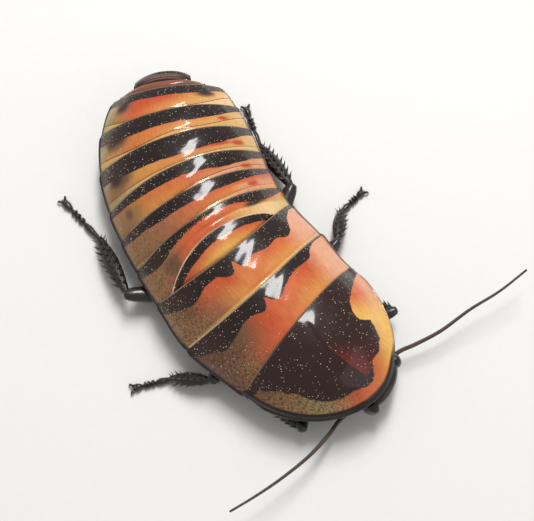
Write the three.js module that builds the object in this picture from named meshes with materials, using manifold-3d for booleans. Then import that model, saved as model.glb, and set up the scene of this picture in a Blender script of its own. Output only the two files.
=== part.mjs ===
// Madagascar hissing cockroach, an adult standing with its body bent to its left.
// Millimetres, +Z up, floor at z = 0, head toward -Y, the animal's left toward +X.
import * as THREE from 'three';
import { mergeVertices } from 'three/addons/utils/BufferGeometryUtils.js';
import Module from 'manifold-3d';

const wasm = await Module();
wasm.setup();

// Driving dimensions.
const bodyLength = 66.7; // tail tip to pronotum front, measured along the bent body
const bendAngle = 55 * Math.PI / 180; // how far the body turns from tail to head
const bendRadius = bodyLength / bendAngle;
const halfWidth = 12.6; // abdomen, at its widest
const pronotumHalfWidth = 12.4;
const pronotumRear = 50.3;
const pronotumLength = 15.1;
const backRise = 6.7; // dome of the back above the side margin
const marginHeight = 4.8; // side margin above the floor
const plateEdge = 0.55; // thickness of a back plate under its margin line
const lipLift = 0.5; // a plate's rear lip stands this far above the next plate
const gap = 0.3; // clearance where two pieces meet
const sternumEdge = 0.5;
const bellyDepth = 1.9;
const thoraxDepth = 1.1;
const endLean = 1.8; // how far the tail and the nose lean left of the arc
const plateSlide = 0.06; // slide of a plate per millimetre from the midline
const waistSlide = 0.05; // further slide where the thorax meets the abdomen
const crescentSwing = -1.1; // the first plate's rear line is this far off the midline
const spineLength = 1.2; // a shin spine of the hind leg
const spineRadius = 0.19;
const clawLength = 1.15;
const shiftX = 1.327; // puts the middle of the whole outline on the origin
const shiftY = 0.518;

// Rear margins of the back plates along the body, at the midline and at the side.
const tergiteRears = [[32.4, 36.4], [29.3, 29.3], [25.0, 24.7], [20.6, 20.7], [15.4, 15.0], [10.3, 9.4], [5.2, 4.4]];
const metanotumRear = [36.5, 33.8];
const mesonotumRear = [43.3, 41.4];
const sterniteRears = [29.2, 24.6, 20.0, 15.0, 9.6, 1.7];

const black = 0x1c130f;
const orange = 0xb5602a;
const amber = 0xc8903f;
const dark = 0x2b1a12;

const clamp = THREE.MathUtils.clamp;
const lerp = THREE.MathUtils.lerp;

// Body coordinates are l (to the animal's left), s (from the tail tip forward) and z,
// laid along an arc in the floor plane.
function ground(l, s, z) {
  const turn = (s - bodyLength / 2) / bendRadius;
  const sag = bendRadius - bendRadius * Math.cos(bendAngle / 2);
  const x = bendRadius - (bendRadius - l) * Math.cos(turn) - sag;
  const y = -(bendRadius - l) * Math.sin(turn);
  return new THREE.Vector3(x + shiftX, y + shiftY, z);
}

// The body on that arc: both ends lean a little further left than the arc does, and in
// the turn the plates slide further back on the left side than on the right.
function place(l, s, z) {
  const lean = endLean * clamp((s - 30) / 33, -1, 1) ** 2 - 0.3;
  const slide = plateSlide * (THREE.MathUtils.smoothstep(s, 8, 30) + 0.35 * THREE.MathUtils.smoothstep(s, 40, 55))
    + waistSlide * Math.exp(-(((s - 34.5) / 2.8) ** 2));
  return ground(l + lean, s - l * slide, z);
}

// Half-width of the body at s, the round tail, the straight flanks and the bulge at the thorax.
function widthAt(s) {
  const t = clamp(1 - s / 22, 0, 1);
  const bulge = 0.8 * Math.exp(-(((s - 41) / 5) ** 2));
  return halfWidth * (1 - t ** 2.2) ** (1 / 2.2) + bulge;
}

// The side margin rises a little toward the front of the pronotum.
function marginAt(s) {
  return marginHeight - 0.2 * clamp(1 - s / 8, 0, 1) + 1.4 * clamp((s - 50) / 15.4, 0, 1.1) ** 1.6;
}

function riseAt(s) {
  return 0.9 + (backRise - 0.9) * (1 - clamp(1 - s / 24, 0, 1) ** 2);
}

function backTop(l, s) {
  const across = clamp(Math.abs(l) / widthAt(s), 0, 1);
  return marginAt(s) + riseAt(s) * (1 - across ** 2.3);
}

function pronotumTop(l, s) {
  const a = Math.abs(l) / pronotumHalfWidth;
  const b = Math.max(0, (s - pronotumRear) / pronotumLength);
  const radial = clamp((a ** 1.85 + b ** 1.85) ** (1 / 1.85), 0, 1);
  return marginAt(s) + (backRise - 0.1) * (1 - radial ** 2.4);
}

function pronotumFront(l) {
  const a = clamp(Math.abs(l) / pronotumHalfWidth, 0, 1);
  return pronotumRear + pronotumLength * (1 - a ** 1.85) ** (1 / 1.85);
}

function rearLine(rear, l) {
  return rear[0] + (rear[1] - rear[0]) * (Math.abs(l) / halfWidth) ** 2;
}

// Solids.

function solidOf(geometry) {
  const bare = geometry.clone();
  bare.deleteAttribute('normal');
  bare.deleteAttribute('uv');
  const merged = mergeVertices(bare, 1e-4);
  const triangles = [];
  const index = merged.index.array;
  for (let i = 0; i < index.length; i += 3) {
    const [a, b, c] = [index[i], index[i + 1], index[i + 2]];
    if (a !== b && b !== c && c !== a) {
      triangles.push(a, b, c);
    }
  }
  return new wasm.Manifold(new wasm.Mesh({
    numProp: 3,
    vertProperties: new Float32Array(merged.attributes.position.array),
    triVerts: new Uint32Array(triangles),
  }));
}

function geometryOf(solid) {
  const mesh = solid.getMesh();
  const geometry = new THREE.BufferGeometry();
  geometry.setAttribute('position', new THREE.BufferAttribute(new Float32Array(mesh.vertProperties), 3));
  geometry.setIndex(new THREE.BufferAttribute(new Uint32Array(mesh.triVerts), 1));
  geometry.computeVertexNormals();
  return geometry;
}

// Only the largest closed surface of a solid stays.
function largest(solid) {
  const pieces = solid.decompose();
  return pieces.reduce((best, piece) => (Math.abs(piece.volume()) > Math.abs(best.volume()) ? piece : best));
}

function cutBy(solid, cutters) {
  return largest(cutters.reduce((rest, cutter) => rest.subtract(cutter), solid));
}

// A block of the given divisions, each corner moved by map(across, along, up),
// where across runs -1 to 1 (right to left), along 0 to 1 (rear to front) and up 0 to 1.
function mappedBlock(columns, rows, map) {
  const geometry = new THREE.BoxGeometry(2, 1, 1, columns, rows, 1);
  const position = geometry.attributes.position;
  for (let i = 0; i < position.count; i += 1) {
    const point = map(position.getX(i), 0.5 - position.getY(i), position.getZ(i) + 0.5);
    position.setXYZ(i, point.x, point.y, point.z);
  }
  return solidOf(geometry);
}

// One back plate between its rear line and its front line.
function backPlate(rear, front, top, width, rows, spread = 0, swing = 0) {
  return mappedBlock(20, rows, (across, along, up) => {
    const side = Math.sin(across * Math.PI / 2);
    let l = side * halfWidth;
    let s = 0;
    for (let pass = 0; pass < 8; pass += 1) {
      s = lerp(rear(l) - spread, front(l) + spread, along);
      l = swing + side * (width(s) + 0.2 * (1 - along) + spread);
    }
    const edge = marginAt(s) - plateEdge - spread;
    const crest = top(l, s) + lipLift * (1 - along);
    return place(l, s, up > 0.5 ? crest : edge);
  });
}

// Where a curve runs at t: its point, its direction, its level side and what is up from it.
function frameAt(curve, t) {
  const tangent = curve.getTangentAt(t);
  const side = new THREE.Vector3().crossVectors(tangent, new THREE.Vector3(0, 0, 1)).normalize();
  const rise = new THREE.Vector3().crossVectors(side, tangent);
  return { point: curve.getPointAt(t), tangent, side, rise };
}

// A limb, feeler or palp: rings of elliptic section along a curve through body points.
// Sections are [place along the curve, half-width, half-height].
function limb(points, sections, sides = 8, grow = 0) {
  const curve = new THREE.CatmullRomCurve3(points, false, 'centripetal');
  const geometry = new THREE.CylinderGeometry(1, 1, sections.length - 1, sides, sections.length - 1);
  const position = geometry.attributes.position;
  const half = (sections.length - 1) / 2;
  for (let i = 0; i < position.count; i += 1) {
    const station = clamp(Math.round(position.getY(i) + half), 0, sections.length - 1);
    const [t, wide, high] = sections[station];
    const { point, tangent, side, rise } = frameAt(curve, t);
    const end = station === 0 ? -grow : station === sections.length - 1 ? grow : 0;
    point.addScaledVector(tangent, end);
    point.addScaledVector(side, position.getX(i) * (wide + grow));
    point.addScaledVector(rise, position.getZ(i) * (high + grow));
    position.setXYZ(i, point.x, point.y, point.z);
  }
  return solidOf(geometry);
}

// A rounded form: a sphere whose points are moved by map(x, y, z), each -1 to 1.
function rounded(sides, rings, map) {
  const geometry = new THREE.SphereGeometry(1, sides, rings);
  const position = geometry.attributes.position;
  for (let i = 0; i < position.count; i += 1) {
    const point = map(position.getX(i), position.getY(i), position.getZ(i));
    position.setXYZ(i, point.x, point.y, point.z);
  }
  return solidOf(geometry);
}

// A spine standing on root, its base sunk by sink.
function spineSolid(root, direction, length, radius, sink) {
  const geometry = new THREE.ConeGeometry(radius, length + sink, 4, 1);
  geometry.translate(0, (length + sink) / 2 - sink, 0);
  geometry.applyQuaternion(new THREE.Quaternion().setFromUnitVectors(new THREE.Vector3(0, 1, 0), direction));
  geometry.translate(root.x, root.y, root.z);
  return solidOf(geometry);
}

// The same small chances each time.
function seeded(seed) {
  let state = seed;
  return () => {
    state = (state * 16807) % 2147483647;
    return state / 2147483647;
  };
}

const floorSlab = solidOf(new THREE.BoxGeometry(120, 120, 4).translate(0, 0, -2));

const group = new THREE.Group();
function addNode(name, solid, color, roughness = 0.35) {
  const material = new THREE.MeshStandardMaterial({ color, roughness, metalness: 0 });
  const mesh = new THREE.Mesh(geometryOf(solid), material);
  mesh.name = name;
  group.add(mesh);
}

// Back of the abdomen: seven plates, then the plate over the vent.
const tergiteFronts = [metanotumRear, ...tergiteRears.slice(0, -1)];
const crescentRear = (l) => rearLine(tergiteRears[0], l - crescentSwing);
const tergites = tergiteRears.map((rear, i) => {
  if (i === 0) {
    return backPlate(crescentRear, (l) => rearLine(metanotumRear, l) - gap, backTop, () => 9.0, 2, 0, -0.65);
  }
  let frontAt = (l) => rearLine(tergiteFronts[i], l) - gap;
  if (i === 1) {
    frontAt = (l) => Math.min(crescentRear(l), rearLine(metanotumRear, l)) - gap;
  }
  return backPlate((l) => rearLine(rear, l), frontAt, backTop, widthAt, 3);
});

// The last plate is a short strip with a dark dome behind it, a little right of the midline.
const stripHalfWidth = 6.1;
const domeHalfWidth = 4.7;
const tailSwing = -0.6;
const stripRear = 3.6;
const domeReach = 2.8;
const tailLine = (l) => {
  const out = clamp(Math.abs(l - tailSwing) / domeHalfWidth, 0, 1);
  return stripRear - domeReach * (1 - out ** 2.4) ** (1 / 2.4);
};
const ventPlate = mappedBlock(14, 3, (across, along, up) => {
  const l = Math.sin(across * Math.PI / 2) * stripHalfWidth;
  const s = lerp(tailLine(l), rearLine(tergiteRears[6], l) - gap, along);
  const crest = backTop(l, s) + 0.1 + 0.25 * (1 - along);
  return place(l, s, up > 0.5 ? crest : marginAt(s) - plateEdge);
});

// Thorax: two plates of like length, then the broad pronotum that hoods the head.
const metanotum = backPlate((l) => rearLine(metanotumRear, l), (l) => rearLine(mesonotumRear, l) - gap,
  backTop, widthAt, 5);
const mesonotum = backPlate((l) => rearLine(mesonotumRear, l), (l) => rearLine([50.4, 49.9], l) - gap,
  backTop, widthAt, 5);

function pronotumSolid(spread) {
  return mappedBlock(20, 9, (across, along, up) => {
    const l = Math.sin(across * Math.PI / 2) * (pronotumHalfWidth - 0.1 + spread);
    const rear = rearLine([50.4, 49.9], l) - spread;
    const front = Math.max(pronotumFront(Math.abs(l) * 0.985), rear + 0.9) + spread;
    const s = lerp(rear, front, along);
    const crest = pronotumTop(l, s) + lipLift * (1 - along) * 0.8 + 0.12;
    return place(l, s, up > 0.5 ? crest : marginAt(s) - plateEdge - spread);
  });
}
const pronotum = pronotumSolid(0);

// Underside of the thorax, which the six hip pieces hang from.
function thoraxSolid(spread) {
  return mappedBlock(10, 10, (across, along, up) => {
    const s = lerp(33.9 - spread, 60.4 + spread, along);
    const wide = (along < 0.6 ? 9.2 : 9.2 - 5 * ((along - 0.6) / 0.4) ** 1.6) + spread;
    const l = Math.sin(across * Math.PI / 2) * wide;
    const top = marginAt(s) - plateEdge - gap;
    const deep = thoraxDepth * (1 - 0.35 * Math.abs(across) ** 3) + spread;
    return place(l, s, up > 0.5 ? top : top - deep);
  });
}

// Underside of the abdomen: six plates, the last one the broad plate under the vent.
function belly(l, s, wide) {
  const rear = clamp((s - 1) / 9, 0, 1) ** 0.7;
  const front = clamp((36.5 - s) / 9, 0, 1) ** 0.8;
  const deep = bellyDepth * (0.25 + 0.75 * Math.min(rear, front));
  return sternumEdge + deep * (1 - clamp(Math.abs(l) / wide, 0, 1) ** 2.4);
}
const sterniteFronts = [33.6, ...sterniteRears.slice(0, -1).map((s) => s - gap)];
function sterniteSolid(i) {
  return mappedBlock(14, 2, (across, along, up) => {
    const side = Math.sin(across * Math.PI / 2);
    let s = lerp(sterniteRears[i], sterniteFronts[i], along);
    const wide = Math.max(widthAt(s) - 0.9, 1);
    const l = side * wide;
    s += (i === 5 ? 1 - along : 0) * 2.2 * Math.abs(side) ** 3;
    const top = marginAt(s) - plateEdge - gap;
    return place(l, s, up > 0.5 ? top : top - belly(l, s, wide));
  });
}

// Head: broad and flat, the face turned down and back under the pronotum.
const headCentre = { s: 63.4, z: 3.45 };
const faceUp = { s: 0.84, z: 0.54 };
const faceOut = { s: 0.54, z: -0.84 };
function facePoint(l, upward, outward) {
  const s = headCentre.s + upward * faceUp.s + outward * faceOut.s;
  const z = headCentre.z + upward * faceUp.z + outward * faceOut.z;
  return place(l, s, z);
}
function headSolid(grow) {
  return rounded(22, 14, (x, y, z) => {
    const upward = y > 0 ? y * (3.4 + grow) : y * (3.3 + grow);
    const taper = y > 0 ? 1 : 1 - 0.42 * (-y) ** 1.6;
    const wide = (4.5 * taper + grow) * Math.sign(x) * Math.abs(x) ** 0.92;
    const deep = (z > 0 ? 1.85 : 1.7) * (1 - 0.15 * Math.max(0, -y)) + grow;
    return facePoint(wide, upward, z * deep);
  });
}
function blob(centre, half, sides, rings, grow = 0) {
  return rounded(sides, rings, (x, y, z) => facePoint(
    centre[0] + x * (half[0] + grow),
    centre[1] + y * (half[1] + grow),
    centre[2] + z * (half[2] + grow),
  ));
}
const eyeSolid = (side, grow) => blob([side * 3.8, 1.1, 0.35], [1.1, 1.55, 1.25], 12, 8, grow);
const labrumSolid = (grow) => blob([0, -3.65, 0.45], [1.35, 0.75, 0.42], 10, 6, grow);
const mandibleSolid = (grow) => blob([0, -3.5, -0.35], [1.7, 0.8, 0.5], 10, 6, grow);
const labiumSolid = (grow) => blob([0, -3.2, -1.25], [1.5, 0.95, 0.45], 10, 6, grow);
const neckSolid = limb(
  [place(0, 58.9, 3.75), place(0, 60.6, 3.9), place(0, 62.6, 4.0)],
  [[0, 2.6, 0.5], [0.5, 2.8, 0.62], [1, 2.6, 0.5]], 12,
);

function palpSolid(side, grow = 0) {
  const points = [facePoint(side * 1.75, -2.3, -0.5), facePoint(side * 2.9, -3.1, -0.35),
    facePoint(side * 3.5, -2.7, 0.6), facePoint(side * 3.3, -2.0, 1.35)];
  return limb(points, [[0, 0.3, 0.3], [0.3, 0.34, 0.34], [0.5, 0.3, 0.3], [0.75, 0.36, 0.36], [1, 0.22, 0.22]], 7, grow);
}

// Feelers, each from its socket below the eye out to its tip.
const feelerReach = {
  left: [[5.4, -26.8, 2.9], [8.0, -27.2, 3.1], [12.2, -27.65, 3.6], [17.6, -27.45, 4.3], [22.8, -27.65, 5.0],
    [28.0, -27.25, 5.6]],
  right: [[-7.5, -30.5, 2.9], [-9.9, -31.4, 3.2], [-14.1, -32.55, 3.8], [-19.5, -33.2, 4.5], [-23.7, -33.35, 5.0],
    [-27.7, -33.3, 5.6]],
};
const scapeShare = 0.085;
const ringCount = 28;
function feelerCurve(side) {
  const sign = side === 'left' ? 1 : -1;
  const free = feelerReach[side].map(([x, y, z]) => new THREE.Vector3(x + shiftX, y + shiftY, z));
  return [facePoint(sign * 2.6, -0.75, 1.3), ...free];
}
function feelerRadius(t) {
  return lerp(0.38, 0.26, clamp((t - scapeShare) / 0.35, 0, 1)) - 0.09 * clamp((t - 0.7) / 0.3, 0, 1);
}
function scapeSolid(side, grow = 0) {
  const t = scapeShare;
  return limb(feelerCurve(side), [[0, 0.4, 0.4], [t * 0.25, 0.55, 0.55], [t * 0.7, 0.5, 0.5],
    [t * 0.78, 0.36, 0.36], [t * 0.95, 0.46, 0.46], [t, 0.4, 0.4]], 8, grow);
}
function flagellumSolid(side, from, to, rings) {
  const sections = [];
  for (let i = 0; i <= rings * 2; i += 1) {
    const t = lerp(from, to, i / (rings * 2));
    const radius = feelerRadius(t) * (i % 2 ? 1.07 : 0.88);
    sections.push([t, radius, radius]);
  }
  return limb(feelerCurve(side), sections, 6);
}

// Legs: hip piece, thigh, shin and foot. Body points, left legs with l > 0.
const legs = {
  front: {
    left: { hipOut: [6.9, 59.4], hip: [4.6, 54.2], knee: [12.2, 59.9, 3.4], ankle: [11.0, 54.8, 0.85], toe: [11.3, 49.4] },
    right: { hipOut: [-6.5, 59.0], hip: [-3.8, 53.0], knee: [-10.3, 59.0, 3.3], ankle: [-9.6, 54.0, 0.85], toe: [-10.2, 48.9] },
  },
  middle: {
    left: { hipOut: [8.0, 50.0], hip: [4.9, 44.9], knee: [14.8, 43.1, 3.4], ankle: [19.5, 37.4, 0.85], toe: [24.4, 36.1] },
    right: { hipOut: [-8.0, 50.0], hip: [-4.9, 45.2], knee: [-13.5, 46.6, 3.1], ankle: [-17.3, 42.7, 0.85], toe: [-22.395, 40.8] },
  },
  hind: {
    left: { hipOut: [8.0, 42.0], hip: [5.2, 35.8], knee: [14.5, 28.6, 3.6], ankle: [13.4, 16.3, 0.9], toe: [13.1, 7.0] },
    right: { hipOut: [-8.0, 42.0], hip: [-4.7, 36.6], knee: [-15.7, 31.6, 3.7], ankle: [-15.5, 22.3, 0.9], toe: [-18.8, 15.6] },
  },
};
const stoutness = { front: 0.85, middle: 0.92, hind: 1.05 };
const footHeight = 0.42;

function coxaSolid(kind, side, grow = 0) {
  const leg = legs[kind][side];
  const hang = (s) => marginAt(s) - plateEdge - gap - thoraxDepth - 0.75;
  const k = stoutness[kind];
  return limb([ground(...leg.hipOut, hang(leg.hipOut[1])), ground(...leg.hip, 1.85)],
    [[0, 1.0 * k, 0.6], [0.2, 1.75 * k, 0.85], [0.55, 1.7 * k, 0.8], [0.85, 1.15 * k, 0.7], [1, 0.7 * k, 0.5]], 9, grow);
}
function femurSolid(kind, side, grow = 0) {
  const leg = legs[kind][side];
  const k = stoutness[kind];
  const hip = ground(...leg.hip, 1.85);
  const knee = ground(...leg.knee);
  const middle = hip.clone().lerp(knee, 0.5);
  middle.z -= 0.15;
  return limb([hip, middle, knee], [[0, 0.55 * k, 0.5 * k], [0.1, 0.8 * k, 0.7 * k], [0.18, 0.72 * k, 0.62 * k],
    [0.34, 1.2 * k, 0.8 * k], [0.6, 1.35 * k, 0.84 * k], [0.85, 1.15 * k, 0.78 * k], [1, 0.85 * k, 0.65 * k]], 8, grow);
}
function tibiaCurve(kind, side) {
  const leg = legs[kind][side];
  const knee = ground(...leg.knee);
  const ankle = ground(...leg.ankle);
  const middle = knee.clone().lerp(ankle, 0.5);
  middle.z += 0.25;
  return [knee, middle, ankle];
}
// The shin is flat and leaf-shaped, widest past its middle.
const shinWidth = (t) => 0.5 + 0.6 * Math.sin(Math.PI * t ** 1.15) ** 0.9;
const shinHeight = (t) => 0.46 + 0.18 * Math.sin(Math.PI * t ** 1.15);
function tibiaSolid(kind, side, grow = 0) {
  const k = stoutness[kind];
  const sections = [0, 0.12, 0.34, 0.6, 0.82, 0.999].map((t) => [t, shinWidth(t) * k, shinHeight(t) * k]);
  return limb(tibiaCurve(kind, side), sections, 8, grow);
}

// The shin's spines stand in rows along it, lean toward the foot, and the last ones ring the ankle.
const spineRows = { front: 4, middle: 5, hind: 6 };
const spineRowTurns = [-0.3, 0.08, 0.4, 0.75, 1.25];
function spinesOf(kind, side) {
  const sign = side === 'left' ? 1 : -1;
  const chance = seeded(kind.length * 97 + (sign + 2) * 31);
  const curve = new THREE.CatmullRomCurve3(tibiaCurve(kind, side), false, 'centripetal');
  const k = stoutness[kind];
  const spines = [];
  spineRowTurns.forEach((turn, row) => {
    const lower = row === 0 || row === 4;
    const count = lower ? 2 : spineRows[kind];
    for (let i = 0; i < count; i += 1) {
      const along = lower ? 0.55 + 0.4 * i : 0.2 + 0.76 * ((i + 0.35 * (row % 2)) / count);
      const { point, tangent, side: level, rise } = frameAt(curve, along);
      const angle = turn * Math.PI + (chance() - 0.5) * 0.25;
      const outward = level.clone().multiplyScalar(Math.cos(angle) * outwardSign(level, kind, side));
      outward.addScaledVector(rise, Math.sin(angle));
      const direction = outward.clone().multiplyScalar(0.78).addScaledVector(tangent, 0.62).normalize();
      const length = spineLength * k * (0.75 + 0.35 * chance()) * (lower ? 0.8 : 1);
      const skin = 1 / Math.hypot(Math.cos(angle) / shinWidth(along), Math.sin(angle) / shinHeight(along));
      const root = point.clone().addScaledVector(outward, 0.75 * skin * k);
      spines.push(spineSolid(root, direction, length, spineRadius, 0.3));
    }
  });
  return spines;
}
// The level side of a leg's curve, turned so that it points away from the body.
function outwardSign(level, kind, side) {
  const leg = legs[kind][side];
  const away = ground(leg.knee[0] * 1.3, leg.knee[1], 0).sub(ground(...leg.knee.slice(0, 2), 0));
  return Math.sign(level.dot(away)) || 1;
}

// A foot: a long first piece, three short ones and the claw piece, with its two claws.
const footPieces = [0.42, 0.12, 0.1, 0.09, 0.27];
function tarsusSolid(kind, side) {
  const leg = legs[kind][side];
  const ankle = ground(...leg.ankle);
  const toe = ground(...leg.toe, footHeight);
  const along = (t, z) => {
    const point = ankle.clone().lerp(toe, t);
    point.z = z;
    return point;
  };
  const sections = [];
  let start = 0;
  footPieces.forEach((share, i) => {
    const thick = i === 0 ? 0.44 : 0.48;
    sections.push([start, 0.3, 0.34], [start + share * 0.25, thick, thick + 0.04]);
    sections.push([start + share * 0.8, thick + 0.08, thick + 0.1]);
    start += share;
  });
  sections.push([1, 0.3, 0.34]);
  const curve = [ankle, along(0.2, 0.5), along(0.6, footHeight), toe];
  const foot = limb(curve, sections, 7);
  const forward = toe.clone().sub(ankle).setZ(0).normalize();
  const level = new THREE.Vector3(-forward.y, forward.x, 0);
  const claws = [-1, 1].map((turn) => {
    const root = toe.clone().addScaledVector(level, turn * 0.16).addScaledVector(forward, -0.1);
    const middle = root.clone().addScaledVector(forward, clawLength * 0.4).addScaledVector(level, turn * 0.4);
    const tip = root.clone().addScaledVector(forward, clawLength * 0.7).addScaledVector(level, turn * 0.62);
    middle.z += 0.16;
    tip.z = 0.14;
    return limb([root, middle, tip], [[0, 0.2, 0.2], [0.5, 0.16, 0.17], [1, 0.05, 0.05]], 5);
  });
  return claws.reduce((whole, claw) => whole.add(claw), foot).subtract(floorSlab);
}

const legKinds = ['front', 'middle', 'hind'];
const sides = ['left', 'right'];
const legPairs = legKinds.flatMap((kind) => sides.map((side) => [kind, side]));
const femursGrown = legPairs.map(([kind, side]) => femurSolid(kind, side, gap));
const coxaeGrown = legPairs.map(([kind, side]) => coxaSolid(kind, side, gap));
const thoraxGrown = thoraxSolid(gap);

// Cerci, two short feelers under the tail plate.
function cercusSolid(sign, grow = 0) {
  const at = (l, s, z) => place(sign * l + 0.6 * tailSwing, s, z);
  return limb([at(3.7, 3.9, 3.3), at(4.0, 2.6, 3.2), at(3.9, 1.24, 3.1)],
    [[0, 0.35, 0.35], [0.3, 0.5, 0.42], [0.75, 0.4, 0.36], [1, 0.18, 0.18]], 8, grow);
}

// Head pieces, each cut clear of the ones before it.
const pronotumGrown = pronotumSolid(gap);
const eyesGrown = [eyeSolid(1, gap), eyeSolid(-1, gap)];
const scapesGrown = sides.map((side) => scapeSolid(side, gap));
const mouthGrown = [labrumSolid(gap), mandibleSolid(gap), labiumSolid(gap), palpSolid(1, gap), palpSolid(-1, gap)];
const head = cutBy(headSolid(0), [pronotumGrown, ...eyesGrown, ...scapesGrown, ...mouthGrown]);
addNode('head', head, black, 0.3);
addNode('eye_left', cutBy(eyeSolid(1, 0), [pronotumGrown, scapesGrown[0]]), 0x0d0908, 0.15);
addNode('eye_right', cutBy(eyeSolid(-1, 0), [pronotumGrown, scapesGrown[1]]), 0x0d0908, 0.15);
addNode('labrum', cutBy(labrumSolid(0), [floorSlab]), 0x4a2c1a);
addNode('mandibles', cutBy(mandibleSolid(0), [labrumSolid(gap)]), black);
addNode('labium', cutBy(labiumSolid(0), [mandibleSolid(gap)]), 0x4a2c1a);
addNode('palp_left', cutBy(palpSolid(1), mouthGrown.slice(0, 3)), 0x5a3a24);
addNode('palp_right', cutBy(palpSolid(-1), mouthGrown.slice(0, 3)), 0x5a3a24);
addNode('neck', cutBy(neckSolid, [headSolid(gap), thoraxGrown, pronotumGrown, ...mouthGrown]), 0x4a2c1a);

for (const side of sides) {
  const scape = scapeSolid(side);
  addNode(`antenna_base_${side}`, cutBy(scape, []), dark);
  const halfGap = 0.15 / 26;
  addNode(`antenna_inner_${side}`, flagellumSolid(side, scapeShare + 0.0115, 0.53 - halfGap, ringCount / 2), dark);
  addNode(`antenna_outer_${side}`, flagellumSolid(side, 0.53 + halfGap, 1, ringCount / 2), dark);
}

addNode('pronotum', pronotum, black, 0.25);
addNode('mesonotum', mesonotum, orange, 0.3);
addNode('metanotum', metanotum, orange, 0.3);
tergites.forEach((solid, i) => addNode(`tergite_${i + 1}`, solid, i % 2 ? amber : orange, 0.3));
addNode('tail_plate', ventPlate, dark, 0.3);

addNode('thorax_underside', cutBy(thoraxSolid(0), femursGrown), 0x7a4a28, 0.5);
for (let i = 0; i < sterniteRears.length; i += 1) {
  const cutters = [...femursGrown, thoraxGrown];
  if (i === 5) {
    cutters.push(cercusSolid(1, gap), cercusSolid(-1, gap));
  }
  addNode(`sternite_${i + 2}`, cutBy(sterniteSolid(i), cutters), 0x8a5228, 0.45);
}
addNode('cercus_left', cutBy(cercusSolid(1), []), dark);
addNode('cercus_right', cutBy(cercusSolid(-1), []), dark);

legPairs.forEach(([kind, side], i) => {
  const name = (piece) => `${piece}_${kind}_${side}`;
  addNode(name('coxa'), cutBy(coxaSolid(kind, side), [thoraxGrown]), dark);
  addNode(name('femur'), cutBy(femurSolid(kind, side), [coxaeGrown[i]]), black);
  const shin = spinesOf(kind, side).reduce((whole, spine) => whole.add(spine), tibiaSolid(kind, side));
  addNode(name('tibia'), cutBy(shin, [femursGrown[i], floorSlab]), black);
  addNode(name('tarsus'), cutBy(tarsusSolid(kind, side), [tibiaSolid(kind, side, gap)]), black);
});

export default group;
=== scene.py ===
import math

import bpy
import bmesh
import numpy as np
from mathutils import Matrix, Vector


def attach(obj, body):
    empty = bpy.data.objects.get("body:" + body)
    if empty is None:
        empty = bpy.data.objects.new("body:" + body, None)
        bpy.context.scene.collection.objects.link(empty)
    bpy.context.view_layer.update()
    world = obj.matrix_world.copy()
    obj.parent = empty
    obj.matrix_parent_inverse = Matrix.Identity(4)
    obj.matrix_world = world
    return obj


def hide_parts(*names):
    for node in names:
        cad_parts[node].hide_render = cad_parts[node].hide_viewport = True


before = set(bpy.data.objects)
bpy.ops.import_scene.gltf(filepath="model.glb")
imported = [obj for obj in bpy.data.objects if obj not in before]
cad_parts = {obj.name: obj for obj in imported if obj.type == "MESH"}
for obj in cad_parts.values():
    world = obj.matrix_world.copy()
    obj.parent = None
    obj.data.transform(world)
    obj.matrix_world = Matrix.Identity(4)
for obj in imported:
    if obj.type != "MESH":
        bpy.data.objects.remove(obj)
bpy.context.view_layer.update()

mm = 0.001
rng = np.random.default_rng(11)

# Body layout in millimetres: l to the animal's left, s from the tail tip forward, z up.
bodyForm = {
    "length": 66.7,
    "bend": 55,  # degrees the body turns through from tail to head
    "halfWidth": 12.6,
    "pronotumHalfWidth": 12.4,
    "pronotumRear": 50.3,
    "pronotumLength": 15.1,
    "backRise": 6.7,  # dome of the back above the side margin
    "marginHeight": 4.8,
    "endLean": 1.8,  # both ends lean left of the bend
    "plateSlide": 0.06,  # plates lie further back on the left, by this share of l
    "waistSlide": 0.05,  # and more so at the waist
    "crescentHalfWidth": 10.3,  # the first back plate, off to the right
    "crescentShift": -0.65,
    "crescentSwing": -1.1,  # of its rear edge
    "crescentSink": 0.55,  # how deep its ends dive
    "shift": (1.327, 0.518),  # of the whole body, so that its box is centred
}
halfWidth = bodyForm["halfWidth"]
bendAngle = math.radians(bodyForm["bend"])
bendRadius = bodyForm["length"] / bendAngle


def smooth(low, high, value):
    t = np.clip((value - low) / (high - low), 0, 1)
    return t * t * (3 - 2 * t)


def ground(l, s, z):  # a body point laid along the bend, in metres
    turn = (s - bodyForm["length"] / 2) / bendRadius
    sag = bendRadius - bendRadius * math.cos(bendAngle / 2)
    x = bendRadius - (bendRadius - l) * np.cos(turn) - sag + bodyForm["shift"][0]
    y = -(bendRadius - l) * np.sin(turn) + bodyForm["shift"][1]
    return np.stack(np.broadcast_arrays(x, y, z), axis=-1) * mm


def place(l, s, z):  # both ends lean left of the bend, and plates slide back on the left
    lean = bodyForm["endLean"] * np.clip((s - 30) / 33, -1, 1) ** 2 - 0.3
    slide = bodyForm["plateSlide"] * (smooth(8, 30, s) + 0.35 * smooth(40, 55, s))
    slide = slide + bodyForm["waistSlide"] * np.exp(-(((s - 34.5) / 2.8) ** 2))
    return ground(l + lean, s - l * slide, z)


def widthAt(s):
    t = np.clip(1 - s / 22, 0, 1)
    bulge = 0.8 * np.exp(-(((s - 41) / 5) ** 2))
    return halfWidth * (1 - t ** 2.2) ** (1 / 2.2) + bulge


def marginAt(s):
    rise = 1.4 * np.clip((s - 50) / 15.4, 0, 1.1) ** 1.6
    return bodyForm["marginHeight"] - 0.2 * np.clip(1 - s / 8, 0, 1) + rise


def backTop(l, s):
    across = np.clip(np.abs(l) / np.maximum(widthAt(s), 0.1), 0, 1)
    rise = 0.9 + (bodyForm["backRise"] - 0.9) * (1 - np.clip(1 - s / 24, 0, 1) ** 2)
    return marginAt(s) + rise * (1 - across ** 2.3)


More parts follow.
